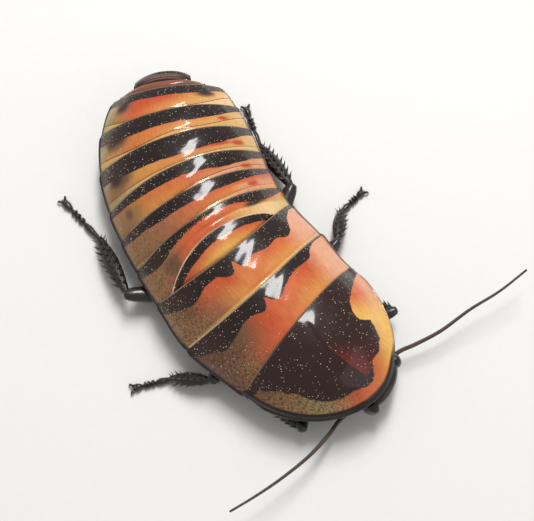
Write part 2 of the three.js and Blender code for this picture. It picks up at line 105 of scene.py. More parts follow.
def pronotumRadial(l, s):
    a = np.abs(l) / bodyForm["pronotumHalfWidth"]
    b = np.maximum(0, (s - bodyForm["pronotumRear"]) / bodyForm["pronotumLength"])
    return np.clip(a ** 1.85 + b ** 1.85, 0, 1) ** (1 / 1.85)


def pronotumTop(l, s):
    return marginAt(s) + (bodyForm["backRise"] - 0.1) * (1 - pronotumRadial(l, s) ** 2.4)


def pronotumFront(l):
    a = np.clip(np.abs(l) / bodyForm["pronotumHalfWidth"], 0, 1)
    return bodyForm["pronotumRear"] + bodyForm["pronotumLength"] * (1 - a ** 1.85) ** (1 / 1.85)


def rearLine(rear, l):
    return rear[0] + (rear[1] - rear[0]) * (np.abs(l) / halfWidth) ** 2


def throughKeys(keys, x):  # smooth curve through (x, value...) keys
    keys = np.array(keys, float)
    xs, ys = keys[:, 0], keys[:, 1:]
    slopes = np.gradient(ys, xs, axis=0)
    x = np.asarray(x, float)
    i = np.clip(np.searchsorted(xs, x) - 1, 0, len(xs) - 2)
    h = (xs[i + 1] - xs[i])[..., None]
    t = np.clip((x[..., None] - xs[i][..., None]) / h, 0, 1)
    return (ys[i] * (1 + 2 * t) * (1 - t) ** 2 + h * slopes[i] * t * (1 - t) ** 2
            + ys[i + 1] * t * t * (3 - 2 * t) + h * slopes[i + 1] * t * t * (t - 1))


def acrossKeys(values, u):  # values spread evenly from the right margin to the left
    keys = list(zip(np.linspace(-1, 1, len(values)), values))
    return throughKeys(keys, u)[..., 0]


# Colour and mesh helpers.

def hexColor(code):  # sRGB hex to linear
    def toLinear(c):
        return c / 12.92 if c <= 0.04045 else ((c + 0.055) / 1.055) ** 2.4
    return tuple(toLinear(int(code[i:i + 2], 16) / 255) for i in (0, 2, 4)) + (1.0,)


def newObject(name, data):
    obj = bpy.data.objects.new(name, data)
    bpy.context.scene.collection.objects.link(obj)
    return obj


def meshObject(name, points, faces=(), edges=(), turnOut=False):
    mesh = bpy.data.meshes.new(name)
    mesh.from_pydata(np.asarray(points).reshape(-1, 3).tolist(), list(edges), list(faces))
    if turnOut:
        outward(mesh)
    mesh.shade_smooth()
    return newObject(name, mesh)


def outward(mesh):
    work = bmesh.new()
    work.from_mesh(mesh)
    bmesh.ops.recalc_face_normals(work, faces=work.faces)
    work.to_mesh(mesh)
    work.free()


def setValues(mesh, name, values):  # a number or a vector on every vertex
    values = np.ascontiguousarray(values, np.float32).reshape(-1)
    single = len(values) == len(mesh.vertices)
    kind, field = ("FLOAT", "value") if single else ("FLOAT_VECTOR", "vector")
    mesh.attributes.new(name, kind, "POINT").data.foreach_set(field, values)


def gridObject(name, points, faceUp=True):  # rows run tail to head, columns right to left
    rows, columns = points.shape[:2]
    index = np.arange(rows * columns).reshape(rows, columns)
    corners = [index[:-1, :-1], index[1:, :-1], index[1:, 1:], index[:-1, 1:]]
    if not faceUp:
        corners.reverse()
    return meshObject(name, points, np.stack(corners, -1).reshape(-1, 4).tolist())


def tubeObject(name, rings, poles=None):  # rings (n, m, 3) closed to a pole at each end
    count, sides = rings.shape[:2]
    ends = poles if poles is not None else (rings[0].mean(0), rings[-1].mean(0))
    points = np.concatenate([rings.reshape(-1, 3), np.array(ends)])
    index = np.arange(count * sides).reshape(count, sides)
    turned = np.roll(index, -1, axis=1)
    faces = np.stack([index[:-1], turned[:-1], turned[1:], index[1:]], -1).reshape(-1, 4).tolist()
    first, last = count * sides, count * sides + 1
    faces += [[first, turned[0, i], index[0, i]] for i in range(sides)]
    faces += [[last, index[-1, i], turned[-1, i]] for i in range(sides)]
    return meshObject(name, points, faces, turnOut=True)


def plainMesh(obj):  # modifiers applied, the object left with an ordinary mesh
    bpy.context.view_layer.update()
    graph = bpy.context.evaluated_depsgraph_get()
    mesh = bpy.data.meshes.new_from_object(obj.evaluated_get(graph))
    obj.modifiers.clear()
    obj.data = mesh
    return obj


def joined(name, objects):
    with bpy.context.temp_override(active_object=objects[0], selected_editable_objects=objects):
        bpy.ops.object.join()
    objects[0].name = name
    objects[0].data.name = name
    return objects[0]


def aboveFloor(obj, lift=0.0):  # what would dip into the floor lies flat on it instead
    coords = np.empty(len(obj.data.vertices) * 3, np.float32)
    obj.data.vertices.foreach_get("co", coords)
    coords[2::3] = np.maximum(coords[2::3], lift * mm)
    obj.data.vertices.foreach_set("co", coords)
    obj.data.update()
    return obj


def settle(obj, slotName, *nodes, finish=None):  # the piece rides on the body and stands for its nodes
    if finish is not None:
        obj.data.materials.clear()
        obj.data.materials.append(finish)
    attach(obj, "root")
    if nodes:
        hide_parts(*nodes)
    return obj


# Paths and limbs.

def pathThrough(points, t, steps=40):  # points and directions at shares t of a centripetal curve
    points = np.array(points, float)
    padded = np.vstack([2 * points[0] - points[1], points, 2 * points[-1] - points[-2]])
    dense = []
    for i in range(len(points) - 1):
        p = padded[i:i + 4]
        knots = np.concatenate([[0], np.cumsum(np.linalg.norm(np.diff(p, axis=0), axis=1) ** 0.5)])
        for x in np.linspace(knots[1], knots[2], steps, endpoint=False):
            a = [p[k] + (p[k + 1] - p[k]) * (x - knots[k]) / (knots[k + 1] - knots[k]) for k in range(3)]
            b = [a[k] + (a[k + 1] - a[k]) * (x - knots[k]) / (knots[k + 2] - knots[k]) for k in range(2)]
            dense.append(b[0] + (b[1] - b[0]) * (x - knots[1]) / (knots[2] - knots[1]))
    dense.append(points[-1])
    dense = np.array(dense)
    travelled = np.concatenate([[0], np.cumsum(np.linalg.norm(np.diff(dense, axis=0), axis=1))])
    travelled /= travelled[-1]
    at = np.stack([np.interp(t, travelled, dense[:, k]) for k in range(3)], -1)
    slopes = np.gradient(dense, axis=0)
    along = np.stack([np.interp(t, travelled, slopes[:, k]) for k in range(3)], -1)
    return at, along / np.linalg.norm(along, axis=-1, keepdims=True)


def framesAt(points, t):  # point, direction, level side and what is up from it
    at, along = pathThrough(points, np.asarray(t, float))
    level = np.cross(along, (0.0, 0.0, 1.0))
    level /= np.linalg.norm(level, axis=-1, keepdims=True)
    return at, along, level, np.cross(level, along)


def limbRings(points, keys, count=48, sides=28, swell=None, dome=0.8):
    # keys are (share of the path, half-width, half-height) in millimetres, swell a factor at each point
    t = np.linspace(0, 1, count)
    at, along, level, rise = framesAt(points, t)
    half = np.maximum(throughKeys(keys, t), 0.03) * mm
    phi = np.linspace(0, 2 * math.pi, sides, endpoint=False)
    bulge = np.ones((count, sides)) if swell is None else swell(t[:, None], phi[None, :])
    reach = (np.cos(phi)[None, :, None] * level[:, None] * half[:, None, :1]
             + np.sin(phi)[None, :, None] * rise[:, None] * half[:, None, 1:])
    rings = at[:, None] + reach * bulge[..., None]
    caps = []
    for end, sign in ((0, -1), (-1, 1)):
        for angle in (72, 50, 26):
            a = math.radians(angle)
            push = along[end] * sign * math.sin(a) * half[end].mean() * dome
            caps.append(at[end] + push + reach[end] * bulge[end][:, None] * math.cos(a))
    front = np.array(caps[:3])
    back = np.array(caps[3:][::-1])
    return np.concatenate([front, rings, back])


def roundKeys(*keys):  # (share of the path, radius) for a limb that is as high as it is wide
    return [(t, radius, radius) for t, radius in keys]


# Node helper, one for every tree.

def addNode(tree, kind, inputs=None, **settings):
    node = tree.nodes.new(kind)
    for name, value in settings.items():
        setattr(node, name, value)
    for socket, value in (inputs or {}).items():
        if isinstance(value, bpy.types.Node):
            value = next(s for s in value.outputs if s.enabled)
        if isinstance(value, bpy.types.NodeSocket):
            tree.links.new(value, node.inputs[socket])
        else:
            node.inputs[socket].default_value = value
    return node


# Geometry Nodes trees for what repeats over a surface or along a path.

def startTree(name, inputs):  # inputs are name: (socket kind, default)
    tree = bpy.data.node_groups.new(name, "GeometryNodeTree")
    tree.interface.new_socket("Geometry", in_out="INPUT", socket_type="NodeSocketGeometry")
    tree.interface.new_socket("Geometry", in_out="OUTPUT", socket_type="NodeSocketGeometry")
    for label, (kind, default) in inputs.items():
        socket = tree.interface.new_socket(label, in_out="INPUT", socket_type=kind)
        if default is not None:
            socket.default_value = default
    return tree, tree.nodes.new("NodeGroupInput"), tree.nodes.new("NodeGroupOutput")


def endTree(tree, given, result, instances, rounded=True):  # made real, smooth if rounded, and finished
    last = addNode(tree, "GeometryNodeRealizeInstances", {"Geometry": instances})
    if rounded:
        last = addNode(tree, "GeometryNodeSetShadeSmooth", {"Geometry": last})
    last = addNode(tree, "GeometryNodeSetMaterial", {
        "Geometry": last, "Material": given.outputs["Finish"]})
    tree.links.new(last.outputs[0], result.inputs[0])
    return tree


def runTree(obj, tree, values):  # the modifier's inputs are set by identifier, then made a mesh
    modifier = obj.modifiers.new(tree.name, "NODES")
    modifier.node_group = tree
    for item in tree.interface.items_tree:
        if item.item_type == "SOCKET" and item.in_out == "INPUT" and item.name in values:
            modifier[item.identifier] = values[item.name]
    return plainMesh(obj)


def thornTree():
    # a bent, tapering thorn on every vertex, along thornAim and curving toward thornLean
    tree, given, result = startTree("thornRows", {
        "Sides": ("NodeSocketInt", 7),
        "Curl": ("NodeSocketFloat", 0.12),
        "Finish": ("NodeSocketMaterial", None),
    })
    cone = addNode(tree, "GeometryNodeMeshCone", {
        "Vertices": given.outputs["Sides"], "Side Segments": 4, "Radius Top": 0.04,
        "Radius Bottom": 1.0, "Depth": 1.0}, fill_type="TRIANGLE_FAN")
    spot = addNode(tree, "GeometryNodeInputPosition")
    parts = addNode(tree, "ShaderNodeSeparateXYZ", {0: spot})
    square = addNode(tree, "ShaderNodeMath", {0: parts.outputs["Z"], 1: 2.0}, operation="POWER")
    # the lean is in thorn radii, so the curl is scaled up to a share of the length
    bend = addNode(tree, "ShaderNodeMath", {0: square, 1: given.outputs["Curl"]}, operation="MULTIPLY")
    wide = addNode(tree, "ShaderNodeMath", {0: bend, 1: 8.0}, operation="MULTIPLY")
    offset = addNode(tree, "ShaderNodeCombineXYZ", {"X": wide})
    bent = addNode(tree, "GeometryNodeSetPosition", {"Geometry": cone.outputs["Mesh"], "Offset": offset})
    aim, lean, size = (
        addNode(tree, "GeometryNodeInputNamedAttribute", {"Name": name}, data_type="FLOAT_VECTOR")
        for name in ("thornAim", "thornLean", "thornSize"))
    stand = addNode(tree, "FunctionNodeAlignRotationToVector", {
        "Vector": aim.outputs["Attribute"]}, axis="Z")
    turn = addNode(tree, "FunctionNodeAlignRotationToVector", {
        "Rotation": stand, "Vector": lean.outputs["Attribute"]}, axis="X", pivot_axis="Z")
    placed = addNode(tree, "GeometryNodeInstanceOnPoints", {
        "Points": given.outputs["Geometry"], "Instance": bent, "Rotation": turn,
        "Scale": size.outputs["Attribute"]})
    return endTree(tree, given, result, placed)


def bristleTree():
    # fine bristles scattered over a surface where bristleShare allows, leaning along bristleLean
    tree, given, result = startTree("bristleCoat", {
        "Density": ("NodeSocketFloat", 1.0e6),
        "Length": ("NodeSocketFloat", 0.0004),
        "Thickness": ("NodeSocketFloat", 0.00002),
        "Lean": ("NodeSocketFloat", 0.6),
        "Seed": ("NodeSocketInt", 3),
        "Finish": ("NodeSocketMaterial", None),
    })
    share = addNode(tree, "GeometryNodeInputNamedAttribute", {"Name": "bristleShare"}, data_type="FLOAT")
    amount = addNode(tree, "ShaderNodeMath", {
        0: share.outputs["Attribute"], 1: given.outputs["Density"]}, operation="MULTIPLY")
    scattered = addNode(tree, "GeometryNodeDistributePointsOnFaces", {
        "Mesh": given.outputs["Geometry"], "Density": amount, "Seed": given.outputs["Seed"]})
    lean = addNode(tree, "GeometryNodeInputNamedAttribute", {
        "Name": "bristleLean"}, data_type="FLOAT_VECTOR")
    leant = addNode(tree, "ShaderNodeVectorMath", {
        0: lean.outputs["Attribute"], "Scale": given.outputs["Lean"]}, operation="SCALE")
    aim = addNode(tree, "ShaderNodeVectorMath", {
        0: scattered.outputs["Normal"], 1: leant}, operation="ADD")
    stand = addNode(tree, "FunctionNodeAlignRotationToVector", {"Vector": aim}, axis="Z")
    chance = addNode(tree, "FunctionNodeRandomValue", {
        "Min": 0.55, "Max": 1.0, "Seed": given.outputs["Seed"]}, data_type="FLOAT")
    tall = addNode(tree, "ShaderNodeMath", {0: chance, 1: given.outputs["Length"]}, operation="MULTIPLY")
    size = addNode(tree, "ShaderNodeCombineXYZ", {
        "X": given.outputs["Thickness"], "Y": given.outputs["Thickness"], "Z": tall})
    cone = addNode(tree, "GeometryNodeMeshCone", {
        "Vertices": 4, "Side Segments": 1, "Radius Top": 0.1, "Radius Bottom": 1.0, "Depth": 1.0},
        fill_type="TRIANGLE_FAN")
    placed = addNode(tree, "GeometryNodeInstanceOnPoints", {
        "Points": scattered.outputs["Points"], "Instance": cone.outputs["Mesh"],
        "Rotation": stand, "Scale": size})
    return endTree(tree, given, result, placed, rounded=False)


def granuleTree():
    # low rounded granules on a shell, as dense as granuleShare says
    tree, given, result = startTree("shellGranules", {
        "Spacing": ("NodeSocketFloat", 0.0004),
        "Density": ("NodeSocketFloat", 2.0e6),
        "Radius": ("NodeSocketFloat", 0.00012),
        "Seed": ("NodeSocketInt", 5),
        "Finish": ("NodeSocketMaterial", None),
    })
    share = addNode(tree, "GeometryNodeInputNamedAttribute", {"Name": "granuleShare"}, data_type="FLOAT")
    scattered = addNode(tree, "GeometryNodeDistributePointsOnFaces", {
        "Mesh": given.outputs["Geometry"], "Distance Min": given.outputs["Spacing"],
        "Density Max": given.outputs["Density"], "Density Factor": share.outputs["Attribute"],
        "Seed": given.outputs["Seed"]}, distribute_method="POISSON")
    ball = addNode(tree, "GeometryNodeMeshUVSphere", {"Segments": 7, "Rings": 4, "Radius": 1.0})
    chance = addNode(tree, "FunctionNodeRandomValue", {
        "Min": 0.45, "Max": 1.2, "Seed": given.outputs["Seed"]}, data_type="FLOAT")
    wide = addNode(tree, "ShaderNodeMath", {0: chance, 1: given.outputs["Radius"]}, operation="MULTIPLY")
    low = addNode(tree, "ShaderNodeMath", {0: wide, 1: 0.55}, operation="MULTIPLY")
    size = addNode(tree, "ShaderNodeCombineXYZ", {"X": wide, "Y": wide, "Z": low})
    placed = addNode(tree, "GeometryNodeInstanceOnPoints", {
        "Points": scattered.outputs["Points"], "Instance": ball.outputs["Mesh"],
        "Rotation": scattered.outputs["Rotation"], "Scale": size})
    return endTree(tree, given, result, placed)


def feelerTree():
    # barrel-shaped rings threaded along a path, thinner and longer toward the tip
    tree, given, result = startTree("feelerRings", {
        "Rings": ("NodeSocketInt", 96),
        "Root Radius": ("NodeSocketFloat", 0.00036),
        "Tip Radius": ("NodeSocketFloat", 0.00016),
        "Waist": ("NodeSocketFloat", 0.3),
        "Finish": ("NodeSocketMaterial", None),
    })
    line = addNode(tree, "GeometryNodeMeshToCurve", {"Mesh": given.outputs["Geometry"]})
    even = addNode(tree, "GeometryNodeResampleCurve", {"Curve": line, "Count": given.outputs["Rings"]})
    barrel = addNode(tree, "GeometryNodeMeshCylinder", {
        "Vertices": 14, "Side Segments": 6, "Radius": 1.0, "Depth": 1.0}, fill_type="TRIANGLE_FAN")
    spot = addNode(tree, "GeometryNodeInputPosition")
    parts = addNode(tree, "ShaderNodeSeparateXYZ", {0: spot})
    twice = addNode(tree, "ShaderNodeMath", {0: parts.outputs["Z"], 1: 2.0}, operation="MULTIPLY")
    sized = addNode(tree, "ShaderNodeMath", {0: twice}, operation="ABSOLUTE")
    steep = addNode(tree, "ShaderNodeMath", {0: sized, 1: 3.5}, operation="POWER")
    pinch = addNode(tree, "ShaderNodeMath", {0: steep, 1: given.outputs["Waist"]}, operation="MULTIPLY")
    keep = addNode(tree, "ShaderNodeMath", {0: 1.0, 1: pinch}, operation="SUBTRACT")
    scale = addNode(tree, "ShaderNodeCombineXYZ", {"X": keep, "Y": keep, "Z": 1.0})
    moved = addNode(tree, "ShaderNodeVectorMath", {0: spot, 1: scale}, operation="MULTIPLY")
    waisted = addNode(tree, "GeometryNodeSetPosition", {
        "Geometry": barrel.outputs["Mesh"], "Position": moved})
    share = addNode(tree, "GeometryNodeSplineParameter")
    radius = addNode(tree, "ShaderNodeMapRange", {
        "Value": share.outputs["Factor"], "To Min": given.outputs["Root Radius"],
        "To Max": given.outputs["Tip Radius"]})
    length = addNode(tree, "GeometryNodeSplineLength")
    pitch = addNode(tree, "ShaderNodeMath", {
        0: length.outputs["Length"], 1: given.outputs["Rings"]}, operation="DIVIDE")
    overlap = addNode(tree, "ShaderNodeMath", {0: pitch, 1: 0.97}, operation="MULTIPLY")
    size = addNode(tree, "ShaderNodeCombineXYZ", {"X": radius, "Y": radius, "Z": overlap})
    course = addNode(tree, "GeometryNodeInputTangent")
    stand = addNode(tree, "FunctionNodeAlignRotationToVector", {"Vector": course}, axis="Z")
    placed = addNode(tree, "GeometryNodeInstanceOnPoints", {
        "Points": even, "Instance": waisted, "Rotation": stand, "Scale": size})
    return endTree(tree, given, result, placed)


thorns = thornTree()
bristles = bristleTree()
granules = granuleTree()
feelerRings = feelerTree()
print("node trees for thorns, bristles, granules and rings ready")

# Materials.

shellTones = {
    "black": "22140f",
    "bandBrown": "3e281c",
    "maroon": "331a16",
    "smudge": "40281d",
    "red": "c44e2a",
    "redOrange": "d36336",
    "orange": "d6783c",
    "amber": "dc944a",
    "sand": "dca864",
    "cream": "ddb672",
    "paleCream": "edc892",
    "yellow": "cfa94e",
    "gold": "f0bb5e",
    "peach": "e29f78",
    "olive": "a89562",
    "oliveBrown": "a2774a",
    "umber": "7c553d",
    "chestnut": "a66a48",
    "stripBrown": "8f5238",
    "taupe": "7a6148",
    "groove": "84452a",
    # a painted highlight along the rear lips
    "paintedRimHighlight": "efc9a6",
    "glow": "7a2620",
    "pinkBrown": "93705f",
}
shellFinish = {
    "strokeWidth": 0.26,  # hair-fine streaks in the shell, mm
    "strokeGrain": 0.18,  # their grain along the body as a share of that across it
    "sway": 0.14,  # how far a band's edge wanders, mm
    "bandBlur": 0.08,  # half the softness of that edge, mm
    "grooveFade": (0.11, 0.03),  # the groove's line fades in between these distances from it, mm
    "orangeShade": (0.8, 1.1),  # darkest and palest streak in the orange
    "blackShade": (0.7, 1.4),  # and in the bands
    "specular": 0.13,  # low, or the bands would turn grey under the sky
    "refraction": 1.56,
    "roughness": 0.4,
    "coat": 0.8,
    "coatRoughness": 0.09,
    "wrinkle": 0.035,  # height of the streaks, mm
    "hairWidth": 0.15,  # hair-like strokes of painted shade on the right flank, wider than real hairs so that they show, mm
    "hairGrain": 0.35,
    "hairDepth": 0.75,
}


def startMaterial(name):
    material = bpy.data.materials.new(name)
    material.use_nodes = True
    material.node_tree.nodes.clear()
    return material, material.node_tree


def endMaterial(tree, inputs):  # the surface that the inputs describe, led to the material's output
    shader = addNode(tree, "ShaderNodeBsdfPrincipled", inputs)
    addNode(tree, "ShaderNodeOutputMaterial", {"Surface": shader})


def shellNoises(tree, where):  # streaks run along the body: fine across it, long along it
    across = 1 / shellFinish["strokeWidth"]
    streakPlace = addNode(tree, "ShaderNodeVectorMath", {
        0: where, 1: (across, across * shellFinish["strokeGrain"], 0.0)}, operation="MULTIPLY")
    streaks = addNode(tree, "ShaderNodeTexNoise", {
        "Vector": streakPlace, "Scale": 1.0, "Detail": 3.0, "Roughness": 0.6})
    clouds = addNode(tree, "ShaderNodeTexNoise", {
        "Vector": where, "Scale": 0.5, "Detail": 3.0, "Roughness": 0.55})
    specks = addNode(tree, "ShaderNodeTexNoise", {"Vector": where, "Scale": 5.0, "Detail": 2.0})
    return streaks.outputs["Fac"], clouds.outputs["Fac"], specks.outputs["Fac"]


def shellBand(tree, marks, streaks, clouds):
    # 1 inside the band, whose front edge sways a little and frays in strokes where it is ragged
    form = shellFinish
    sway = addNode(tree, "ShaderNodeMapRange", {
        "Value": clouds, "From Min": 0.25, "From Max": 0.75,
        "To Min": -form["sway"], "To Max": form["sway"]})
    stroke = addNode(tree, "ShaderNodeMath", {0: streaks, 1: 0.5}, operation="SUBTRACT")
    fray = addNode(tree, "ShaderNodeMath", {0: stroke, 1: marks.outputs[2]}, operation="MULTIPLY")
    swayed = addNode(tree, "ShaderNodeMath", {0: marks.outputs[0], 1: sway}, operation="ADD")
    frayed = addNode(tree, "ShaderNodeMath", {0: swayed, 1: fray}, operation="ADD")
    return addNode(tree, "ShaderNodeMapRange", {
        "Value": frayed, "From Min": -form["bandBlur"], "From Max": form["bandBlur"]},
        interpolation_type="SMOOTHSTEP")


def shellField(tree, layer, where, marks, edges, streaks):
    # the tones between the bands, partly painted shade and light, with a thin brown line in the groove,
    # streaks and hair-like strokes of painted shade
    form = shellFinish
    far, close = form["grooveFade"]
    off = addNode(tree, "ShaderNodeMath", {0: marks.outputs[1]}, operation="ABSOLUTE")
    line = addNode(tree, "ShaderNodeMapRange", {
        "Value": off, "From Min": far, "From Max": close}, interpolation_type="SMOOTHSTEP")
    lined = addNode(tree, "ShaderNodeMath", {0: line, 1: edges.outputs[0]}, operation="MULTIPLY")
    field = addNode(tree, "ShaderNodeMix", {
        0: lined, 6: layer("fieldTone").outputs["Color"], 7: hexColor(shellTones["groove"])},
        data_type="RGBA")
    darkest, palest = form["orangeShade"]
    shade = addNode(tree, "ShaderNodeMapRange", {
        "Value": streaks, "From Min": 0.25, "From Max": 0.75, "To Min": darkest, "To Max": palest})
    field = addNode(tree, "ShaderNodeMix", {
        0: 1.0, 6: field, 7: shade}, data_type="RGBA", blend_type="MULTIPLY")

    # hair-like dark strokes of painted shade lie close where the shade stroke layer says, on the front
    # plates' right flank
    fine = 1 / form["hairWidth"]
    shadeStrokePlace = addNode(tree, "ShaderNodeVectorMath", {
        0: where, 1: (fine, fine * form["hairGrain"], 0.0)}, operation="MULTIPLY")
    shadeStrokeNoise = addNode(tree, "ShaderNodeTexNoise", {"Vector": shadeStrokePlace, "Scale": 1.0, "Detail": 1.0})
    shadeStrokeMarks = addNode(tree, "ShaderNodeMapRange", {
        "Value": shadeStrokeNoise.outputs["Fac"], "From Min": 0.46, "From Max": 0.62, "To Max": form["hairDepth"]},
        interpolation_type="SMOOTHSTEP")
    shadeStrokeAmount = addNode(tree, "ShaderNodeMath", {
        0: shadeStrokeMarks, 1: layer("hair").outputs["Fac"]}, operation="MULTIPLY")
    return addNode(tree, "ShaderNodeMix", {
        0: shadeStrokeAmount, 6: field, 7: hexColor(shellTones["bandBrown"])}, data_type="RGBA")


def bandedShell():
    # Waxed chitin, banded black on orange: deep colour under a thin glossy skin, finely streaked
    form = shellFinish
    material, tree = startMaterial("waxedBandedChitin")

    def layer(name):
        return addNode(tree, "ShaderNodeAttribute", attribute_name=name)

    where = layer("plateMm").outputs["Vector"]
    marks = addNode(tree, "ShaderNodeSeparateXYZ", {0: layer("marks").outputs["Vector"]})
    edges = addNode(tree, "ShaderNodeSeparateXYZ", {0: layer("edges").outputs["Vector"]})
    streaks, clouds, specks = shellNoises(tree, where)
    inBand = shellBand(tree, marks, streaks, clouds)
    field = shellField(tree, layer, where, marks, edges, streaks)
    darkest, palest = form["blackShade"]
    depth = addNode(tree, "ShaderNodeMapRange", {
        "Value": specks, "From Min": 0.3, "From Max": 0.7, "To Min": darkest, "To Max": palest})
    dark = addNode(tree, "ShaderNodeMix", {
        0: 1.0, 6: layer("darkTone").outputs["Color"], 7: depth}, data_type="RGBA", blend_type="MULTIPLY")
    color = addNode(tree, "ShaderNodeMix", {0: inBand, 6: field, 7: dark}, data_type="RGBA")

    # a painted highlight along some lips, and a black line along the flanks that is their dark margin,
    # deepened on the right by painted shade
    for share, tone in ((edges.outputs[1], "paintedRimHighlight"), (edges.outputs[2], "black")):
        color = addNode(tree, "ShaderNodeMix", {
            0: share, 6: color, 7: hexColor(shellTones[tone])}, data_type="RGBA")

    heights = addNode(tree, "ShaderNodeMath", {0: streaks, 1: specks}, operation="ADD")
    bump = addNode(tree, "ShaderNodeBump", {
        "Strength": 0.3, "Distance": form["wrinkle"] * mm, "Height": heights})
    rough = addNode(tree, "ShaderNodeMapRange", {
        "Value": specks, "To Min": form["roughness"] - 0.08, "To Max": form["roughness"] + 0.1})
    endMaterial(tree, {
        "Base Color": color, "Roughness": rough, "Normal": bump,
        "IOR": form["refraction"], "Specular IOR Level": form["specular"],
        "Coat Weight": form["coat"], "Coat Roughness": form["coatRoughness"], "Coat IOR": 1.5})
    return material


def cuticle(name, low, high, grain, roughness, coat, depth=0.00004, stretch=(1, 1, 1)):
    # plain chitin in two close tones, grain the size of its mottling in mm
    material, tree = startMaterial(name)
    spot = addNode(tree, "ShaderNodeTexCoord").outputs["Object"]
    sized = addNode(tree, "ShaderNodeMapping", {"Vector": spot, "Scale": stretch})
    mottle = addNode(tree, "ShaderNodeTexNoise", {
        "Vector": sized, "Scale": 1 / (grain * mm), "Detail": 4.0, "Roughness": 0.6})
    spread = addNode(tree, "ShaderNodeMapRange", {
        "Value": mottle.outputs["Fac"], "From Min": 0.3, "From Max": 0.7},
        interpolation_type="SMOOTHSTEP")
    color = addNode(tree, "ShaderNodeMix", {
        0: spread, 6: hexColor(low), 7: hexColor(high)}, data_type="RGBA")
    pits = addNode(tree, "ShaderNodeTexVoronoi", {"Vector": sized, "Scale": 2.2 / (grain * mm)})
    bump = addNode(tree, "ShaderNodeBump", {
        "Strength": 0.5, "Distance": depth, "Height": pits.outputs["Distance"]})
    rough = addNode(tree, "ShaderNodeMapRange", {
        "Value": mottle.outputs["Fac"], "To Min": roughness - 0.07, "To Max": roughness + 0.1})
    endMaterial(tree, {
        "Base Color": color, "Roughness": rough, "IOR": 1.56, "Normal": bump,
        "Coat Weight": coat, "Coat Roughness": 0.14, "Coat IOR": 1.5})
    return material


shellSkin = bandedShell()
blackChitin = cuticle("polishedBlackChitin", "120d0c", "2b1e19", 0.5, 0.3, 0.4)
legChitin = cuticle("punctureMarkedLegChitin", "100c0b", "2b1f1a", 0.35, 0.34, 0.6)
thornHorn = cuticle("darkHorn", "120b09", "38200f", 0.25, 0.3, 0.4)
clawHorn = cuticle("darkAmberHorn", "160b07", "4a2412", 0.3, 0.25, 0.5)
padSkin = cuticle("paleRubberyPad", "8c7a62", "b8a88c", 0.2, 0.6, 0.0)
jointSkin = cuticle("softJointMembrane", "7c5c43", "b08a66", 0.3, 0.55, 0.1, 0.00008)
bellyChitin = cuticle("amberBellyChitin", "5e2f14", "93501f", 1.2, 0.32, 0.4)
mouthChitin = cuticle("brownMouthChitin", "4a2816", "8a5430", 0.4, 0.34, 0.4)
palpSkin = cuticle("tanPalpChitin", "7a5232", "a87c50", 0.3, 0.42, 0.2)
feelerChitin = cuticle("umberFeelerChitin", "1d1512", "3c2a21", 0.2, 0.42, 0.2)
feelerCore = cuticle("paleFeelerJoint", "8c7358", "b59a78", 0.2, 0.5, 0.0)
# pale granules: partly their own pale colour, partly a painted highlight on each
granuleWaxAndGlint = cuticle("paleShellGranuleAndGlint", "a08866", "efe0c0", 0.9, 0.35, 0.3)
print("finishes ready")

# Back plates.

plateForm = {
    "lipLift": 0.43,  # a rear lip stands this far above the next plate, mm
    "gap": 0.3,
    "tuck": 1.7,  # how far a plate runs on under the one in front
    "tuckDrop": 0.32,
    "rollLimit": 0.62,  # nothing rolls under further than this
    "shell": 0.15,  # shell thickness
    "columns": 150,
    "pitch": 0.17,  # row spacing along the body
    "swell": 0.16,  # each plate bulges this much between its lip and its groove
    "grooveDepth": 0.09,
    "rearRoll": (  # how a rear lip curls under, (s, z) from its edge in mm
        (0.75, -0.32), (0.4, -0.38), (0.14, -0.37), (0.0, -0.29), (-0.05, -0.18), (-0.01, -0.08),
        (0.09, -0.02)),
    "sideRoll": (  # and a flank, (outward, z)
        (-1.3, -0.42), (-0.7, -0.5), (-0.25, -0.52), (0.0, -0.44), (0.1, -0.3), (0.11, -0.16),
        (0.06, -0.05)),
}
